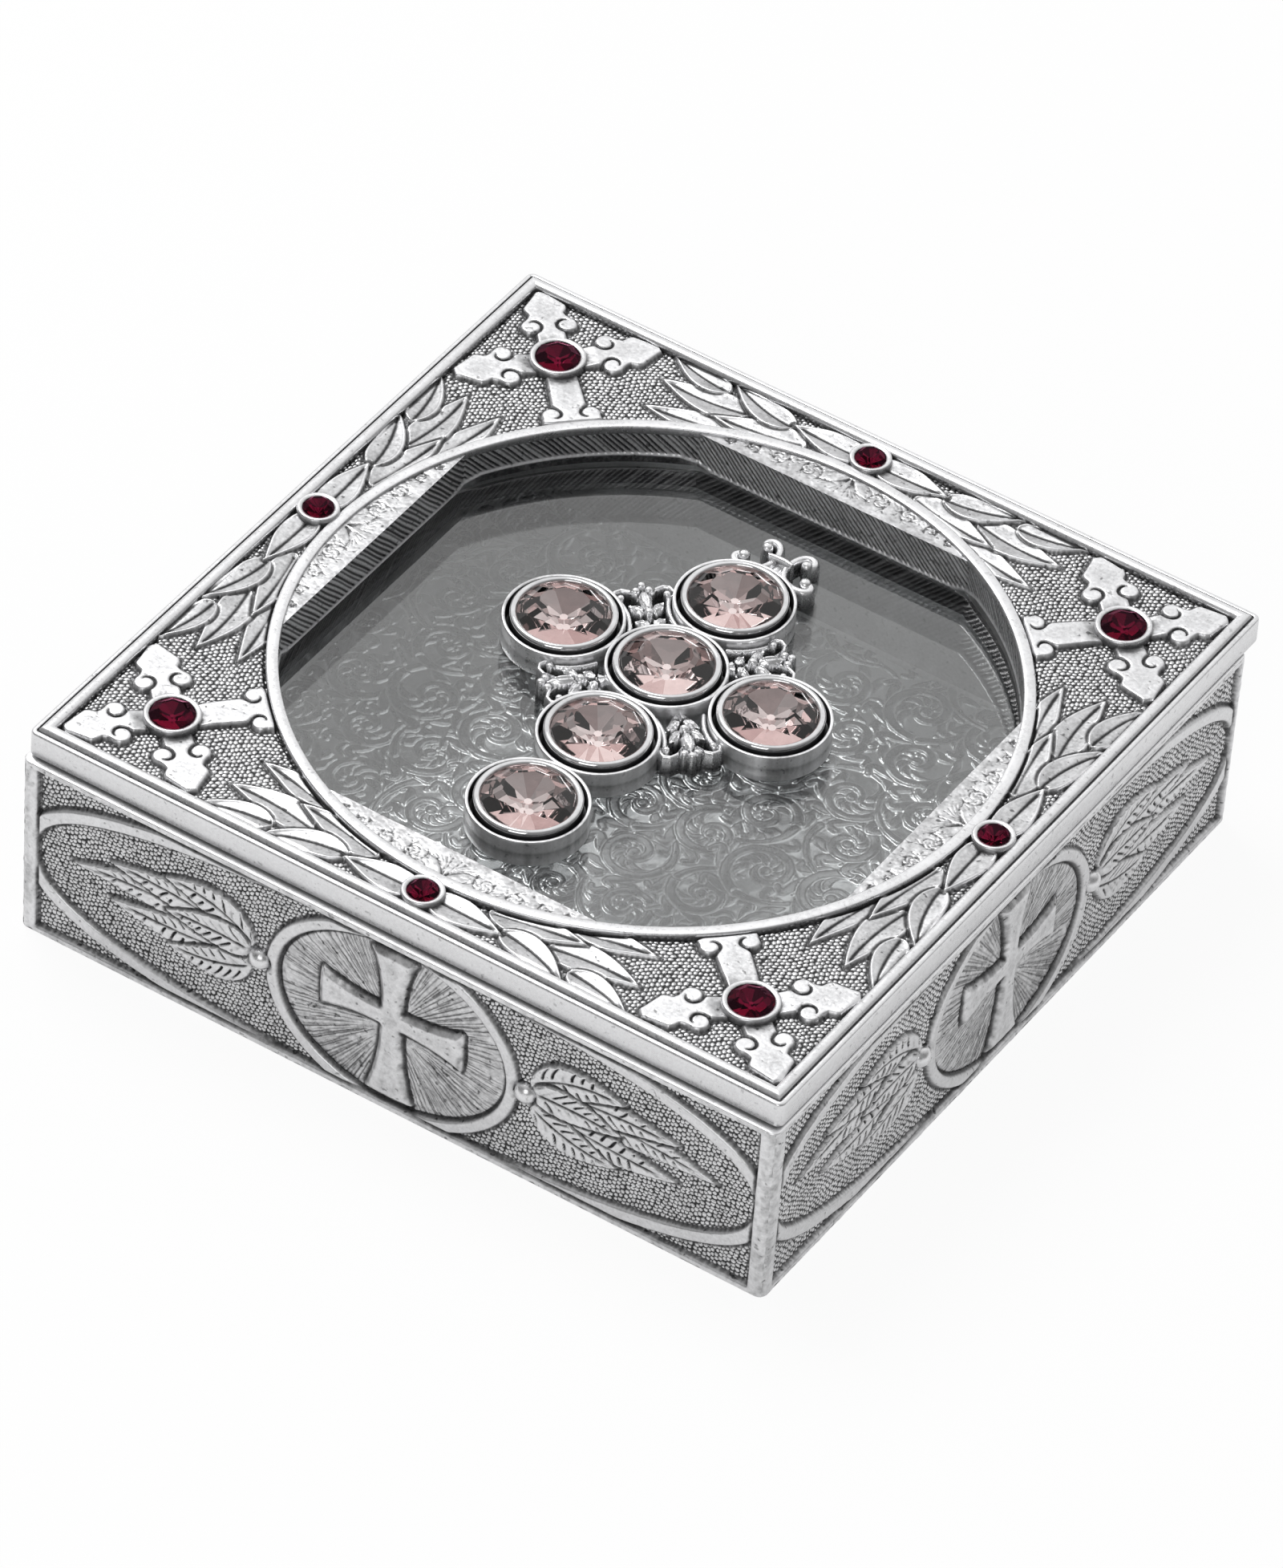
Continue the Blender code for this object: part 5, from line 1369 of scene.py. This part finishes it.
def leaf_cluster(u, v):
    """A small lily with veined leaves and two volutes that lean on the cups, pointing along +u."""
    gap = np.full(u.shape, 9.0)
    height = np.full(u.shape, 0.1)

    def lobe(start, tip, width, bend, high, rib=0.35):
        nonlocal gap, height
        near, along, side, _ = leaf_shape(u, v, start, tip, width, width, bend, 0.85)
        cut = np.exp(-(side / 0.12) ** 2) * step01(0.0, 0.2, along) * step01(1.0, 0.8, along)
        top = high - rib * cut - 0.45 * (1 - step01(0.0, 0.42, -near))
        inside = near < 0
        height = np.where(inside, np.maximum(top, np.minimum(height, high - 0.2)), np.where(near < 0.22, np.minimum(height, high - 0.9), height))
        gap = np.minimum(gap, near)

    def knob(place, radius, high):
        nonlocal gap, height
        near = np.hypot(u - place[0], v - place[1])
        top = high - radius + radius * np.sqrt(np.clip(1 - (near / radius) ** 2, 0, 1))
        height = np.where(near < radius, top, np.where(near < radius + 0.16, np.minimum(height, high - 0.8), height))
        gap = np.minimum(gap, near - radius)

    def tendril(points, width, high):
        nonlocal gap, height
        near, _ = line_distance(u, v, points)
        top = high - 0.5 * (near / width) ** 3
        height = np.where(near < width, np.maximum(height, top), height)
        gap = np.minimum(gap, near - width)

    lobe((-4.2, 0.0), (-0.9, 0.0), 1.15, 0.0, 2.0)
    for side in (-1, 1):
        # strip that hugs the cup, then the volute
        strip = [(at, side * (9.387 - math.sqrt((CUP_RADIUS + 0.40) ** 2 - (at + 1.0) ** 2))) for at in np.linspace(-3.2, 1.2, 9)]
        tendril(strip, 0.34, 2.05)
        volute = [(1.0, 0.35), (1.9, 0.75), (2.75, 1.45), (3.1, 2.3), (2.85, 3.05), (2.2, 3.3), (1.65, 2.95), (1.75, 2.45)]
        tendril([(p, q * side) for p, q in volute], 0.30, 2.3)
        knob((1.85, 2.55 * side), 0.42, 2.45)
        lobe((-2.6, 0.2 * side), (-1.5, 1.75 * side), 0.62, 0.1 * side, 2.15)
        lobe((-0.9, 0.1 * side), (0.75, 1.95 * side), 0.62, 0.15 * side, 2.45)
    lobe((-0.6, 0.0), (2.9, 0.0), 0.72, 0.0, 2.65, 0.25)
    for side in (-1, 1):
        knob((2.75, 0.72 * side), 0.50, 2.5)
    knob((-0.95, 0.0), 0.52, 2.75)
    knob((3.35, 0.0), 0.50, 2.7)
    return gap, height + 0.40


def fillers():
    centre_y = LID_Y + CROSS_LOW + 2 * CUP_PITCH
    for title, x, y in (("back_right", 1, 1), ("back_left", -1, 1), ("front_left", -1, -1), ("front_right", 1, -1)):
        angle = math.atan2(y, x)
        place = (x * (TREFOIL_PLACE + 0.35), centre_y + y * (TREFOIL_PLACE + 0.35))
        masked_relief(f"cross_leaf_{title}", place, 4.8, 0.09, leaf_cluster, CUP_FOOT, ORNAMENT, "lid", ["cross_casting"], angle)


def ribbon(name, points, width, low, high, body, replaces):
    """A cast scroll: a rounded bar of this width that follows a line."""
    points = np.array(points)
    along = np.gradient(points, axis=0)
    along /= np.hypot(along[:, 0], along[:, 1])[:, None]
    side = np.column_stack([-along[:, 1], along[:, 0]])
    section = [(-1.0, 0.0), (-1.0, 0.62), (-0.93, 0.78), (-0.75, 0.90), (-0.42, 0.98), (0.0, 1.0), (0.42, 0.98), (0.75, 0.90), (0.93, 0.78), (1.0, 0.62), (1.0, 0.0), (-1.0, 0.0)]
    verts = []
    widths = np.broadcast_to(width, len(points))
    highs = np.broadcast_to(high, len(points))
    for across, up in section:
        place = points + side * (across * widths / 2)[:, None]
        verts.append(np.column_stack([place[:, 0], place[:, 1], low + (highs - low) * up]))
    rows, cols = len(section), len(points)
    faces = grid_faces(rows, cols)[:, ::-1]
    ends = np.array([[r * cols for r in range(rows - 1)], [r * cols + cols - 1 for r in range(rows - 1)][::-1]])
    # the bar's sides and foot are painted darker than its top, as shade
    tone = np.repeat([0.2, 0.7, 0.9, 1.0, 1.0, 1.0, 1.0, 1.0, 0.9, 0.7, 0.2, 0.2], cols)
    made = new_object(name, np.concatenate(verts), [faces, ends], ORNAMENT, body, tone, 60)
    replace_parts(made, *replaces)
    return made


def finial():
    """Two scrolls back to back on a short stem, tied by a band."""
    base_y = LID_Y + CROSS_LOW + 3 * CUP_PITCH + CUP_RADIUS
    tie = base_y + 2.4
    scroll = [
        (2.55, 1.35), (3.1, 1.8), (3.0, 2.5), (2.3, 2.85), (1.45, 2.45), (0.95, 1.4), (0.82, 0.2), (0.95, -0.9), (1.5, -1.8),
        (2.4, -2.35), (3.5, -2.55), (4.5, -2.4), (4.95, -1.7), (4.6, -1.0), (3.95, -1.15),
    ]
    spans = np.linspace(0, len(scroll) - 1, 60)
    smooth = np.column_stack([np.interp(spans, range(len(scroll)), [p[axis] for p in scroll]) for axis in (0, 1)])
    for _ in range(6):
        smooth[1:-1] = (smooth[:-2] + 2 * smooth[1:-1] + smooth[2:]) / 4
    widths = 1.05 + 0.10 * np.cos(np.linspace(0, 2 * math.pi, len(smooth)))
    for title, side in (("left", -1), ("right", 1)):
        path = [(side * x, tie + y) for x, y in smooth]
        ribbon(f"finial_scroll_{title}", path, widths, CUP_FOOT, CUP_FOOT + 2.3, "lid", ["cross_casting"])
        for word, place, radius in (("top", path[0], 0.66), ("foot", path[-1], 0.70)):
            dome = [(0.01, 0.0), (radius * 0.98, 0.0), (radius, 1.7), (radius * 0.97, 2.1), (radius * 0.80, 2.42), (radius * 0.5, 2.6), (0.01, 2.68)]
            # the knob's lower sides are painted darker than its top, as shade
            made = turned(f"finial_knob_{title}_{word}", dome, (place[0], place[1], CUP_FOOT), 28, ORNAMENT, "antique_pewter", "lid", np.array([0.3, 0.3, 0.7, 0.9, 1, 1, 1]), 60)
            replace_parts(made, "cross_casting")
    # the small band that ties the scrolls together
    points = [(1.55 * math.sin(t), tie + 0.05 + 0.12 * math.cos(2 * t)) for t in np.linspace(-math.pi / 2, math.pi / 2, 24)]
    ribbon("finial_band", points, 0.42 + 0.50 * np.cos(np.linspace(-1.4, 1.4, 24)), CUP_FOOT, CUP_FOOT + 2.85, "lid", ["cross_casting"])
    stem = [(0.0, base_y - 0.3 + 2.9 * t) for t in np.linspace(0, 1, 8)]
    ribbon("finial_stem", stem, 1.3, CUP_FOOT, CUP_FOOT + 1.9, "lid", ["cross_casting"])


# ---------------------------------------------------------------- studio

def dress(node, surface):
    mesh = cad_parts[node].data
    mesh.materials.clear()
    mesh.materials.append(surface)


def studio():
    scene = bpy.context.scene
    # the floor: a pale diffuse sheet that shows white to the camera and keeps the shadow
    n = Nodes("studio_floor")
    n.object_place()
    cloud = n.noise(3.0, 2.0)
    matt = n.add("ShaderNodeBsdfDiffuse")
    n.link(n.ramp(cloud, ((0.3, (0.90, 0.90, 0.90)), (0.7, (0.92, 0.92, 0.92)))), matt.inputs["Color"])
    glow = n.add("ShaderNodeEmission")
    path = n.add("ShaderNodeLightPath")
    seen = n.math("MULTIPLY", path.outputs["Is Camera Ray"], 0.92)
    mirrored = n.math("MULTIPLY", n.math("MAXIMUM", path.outputs["Is Glossy Ray"], path.outputs["Is Transmission Ray"]), 0.45)
    mix = n.add("ShaderNodeMixShader")
    n.link(n.math("MAXIMUM", seen, mirrored), mix.inputs["Fac"])
    n.link(matt.outputs[0], mix.inputs[1])
    n.link(glow.outputs[0], mix.inputs[2])
    n.link(mix.outputs[0], n.out.inputs["Surface"])
    bpy.ops.mesh.primitive_plane_add(size=3.0, location=(0, 0, -0.0002))
    floor = bpy.context.object
    floor.name = "studio_floor"
    floor.data.materials.append(n.material)

    # a white studio, brighter above and behind the object than on the camera's side
    world = bpy.data.worlds.new("studio_world")
    scene.world = world
    world.use_nodes = True
    tree = world.node_tree
    tree.nodes.clear()

    def add(kind):
        return tree.nodes.new(kind)

    out = add("ShaderNodeOutputWorld")
    white, soft, tent = add("ShaderNodeBackground"), add("ShaderNodeBackground"), add("ShaderNodeBackground")
    white.inputs["Strength"].default_value = 1.0
    white.inputs["Color"].default_value = (1, 1, 1, 1)
    soft.inputs["Strength"].default_value = 0.55
    soft.inputs["Color"].default_value = (1, 1, 1, 1)
    place = add("ShaderNodeTexCoord")
    dot = add("ShaderNodeVectorMath")
    dot.operation = "DOT_PRODUCT"
    tree.links.new(place.outputs["Generated"], dot.inputs[0])
    dot.inputs[1].default_value = Vector((-0.30, 0.65, 0.70)).normalized()
    spread = add("ShaderNodeMapRange")
    spread.interpolation_type = "SMOOTHSTEP"
    for key, number in (("From Min", 0.10), ("From Max", 0.90), ("To Min", 0.27), ("To Max", 1.0)):
        spread.inputs[key].default_value = number
    tree.links.new(dot.outputs["Value"], spread.inputs["Value"])
    tree.links.new(spread.outputs["Result"], tent.inputs["Color"])
    path = add("ShaderNodeLightPath")
    bright = add("ShaderNodeMath")
    bright.operation = "MAXIMUM"
    tree.links.new(path.outputs["Is Glossy Ray"], bright.inputs[0])
    tree.links.new(path.outputs["Is Transmission Ray"], bright.inputs[1])
    first, second = add("ShaderNodeMixShader"), add("ShaderNodeMixShader")
    tree.links.new(bright.outputs[0], first.inputs["Fac"])
    tree.links.new(soft.outputs[0], first.inputs[1])
    tree.links.new(tent.outputs[0], first.inputs[2])
    tree.links.new(path.outputs["Is Camera Ray"], second.inputs["Fac"])
    tree.links.new(first.outputs[0], second.inputs[1])
    tree.links.new(white.outputs[0], second.inputs[2])
    tree.links.new(second.outputs[0], out.inputs["Surface"])

    def lamp(name, place, size, power):
        data = bpy.data.lights.new(name, "AREA")
        data.size = size
        data.energy = power
        made = bpy.data.objects.new(name, data)
        made.location = place
        made.rotation_euler = (-Vector(place)).to_track_quat("-Z", "Y").to_euler()
        made.visible_transmission = False
        scene.collection.objects.link(made)

    lamp("key", (-0.45, 0.15, 0.80), 0.45, 4.0)
    lamp("fill", (0.2, -0.8, 0.5), 0.5, 1.5)


def camera():
    azimuth, elevation, roll = math.radians(30.584), math.radians(42.320), math.radians(4.399)
    focal, shift_x, shift_y, distance = 14440.0, 0.19165, -0.33040, 25.6744
    half = LID_HALF * MM
    back = Vector((math.sin(azimuth) * math.cos(elevation), -math.cos(azimuth) * math.cos(elevation), math.sin(elevation)))
    right = Vector((math.cos(azimuth), math.sin(azimuth), 0))
    up = back.cross(right)
    right2 = right * math.cos(roll) + up * math.sin(roll)
    up2 = -right * math.sin(roll) + up * math.cos(roll)
    centre = Vector((shift_x * half, shift_y * half + LID_Y * MM, RIM * MM)) + back * distance * half
    matrix = Matrix((right2, up2, back)).transposed().to_4x4()
    matrix.translation = centre
    data = bpy.data.cameras.new("camera")
    data.sensor_fit = "VERTICAL"
    data.sensor_height = 36
    data.lens = focal * 36 / 1955
    data.clip_start = 0.01
    data.clip_end = 20
    made = bpy.data.objects.new("camera", data)
    made.matrix_world = matrix
    bpy.context.scene.collection.objects.link(made)
    bpy.context.scene.camera = made


lid_relief()
lid_mouldings()
window_wall()
stones()
lid_underside()
hinges()
walls()
base_shell()
floor_relief()
settings()
fillers()
finial()
dress("glass_pane", PANE)
dress("glass_retainer", INSIDE)
dress("hinge_pin_left", STEEL)
dress("hinge_pin_right", STEEL)
studio()
camera()
bpy.context.scene.view_settings.view_transform = "Standard"
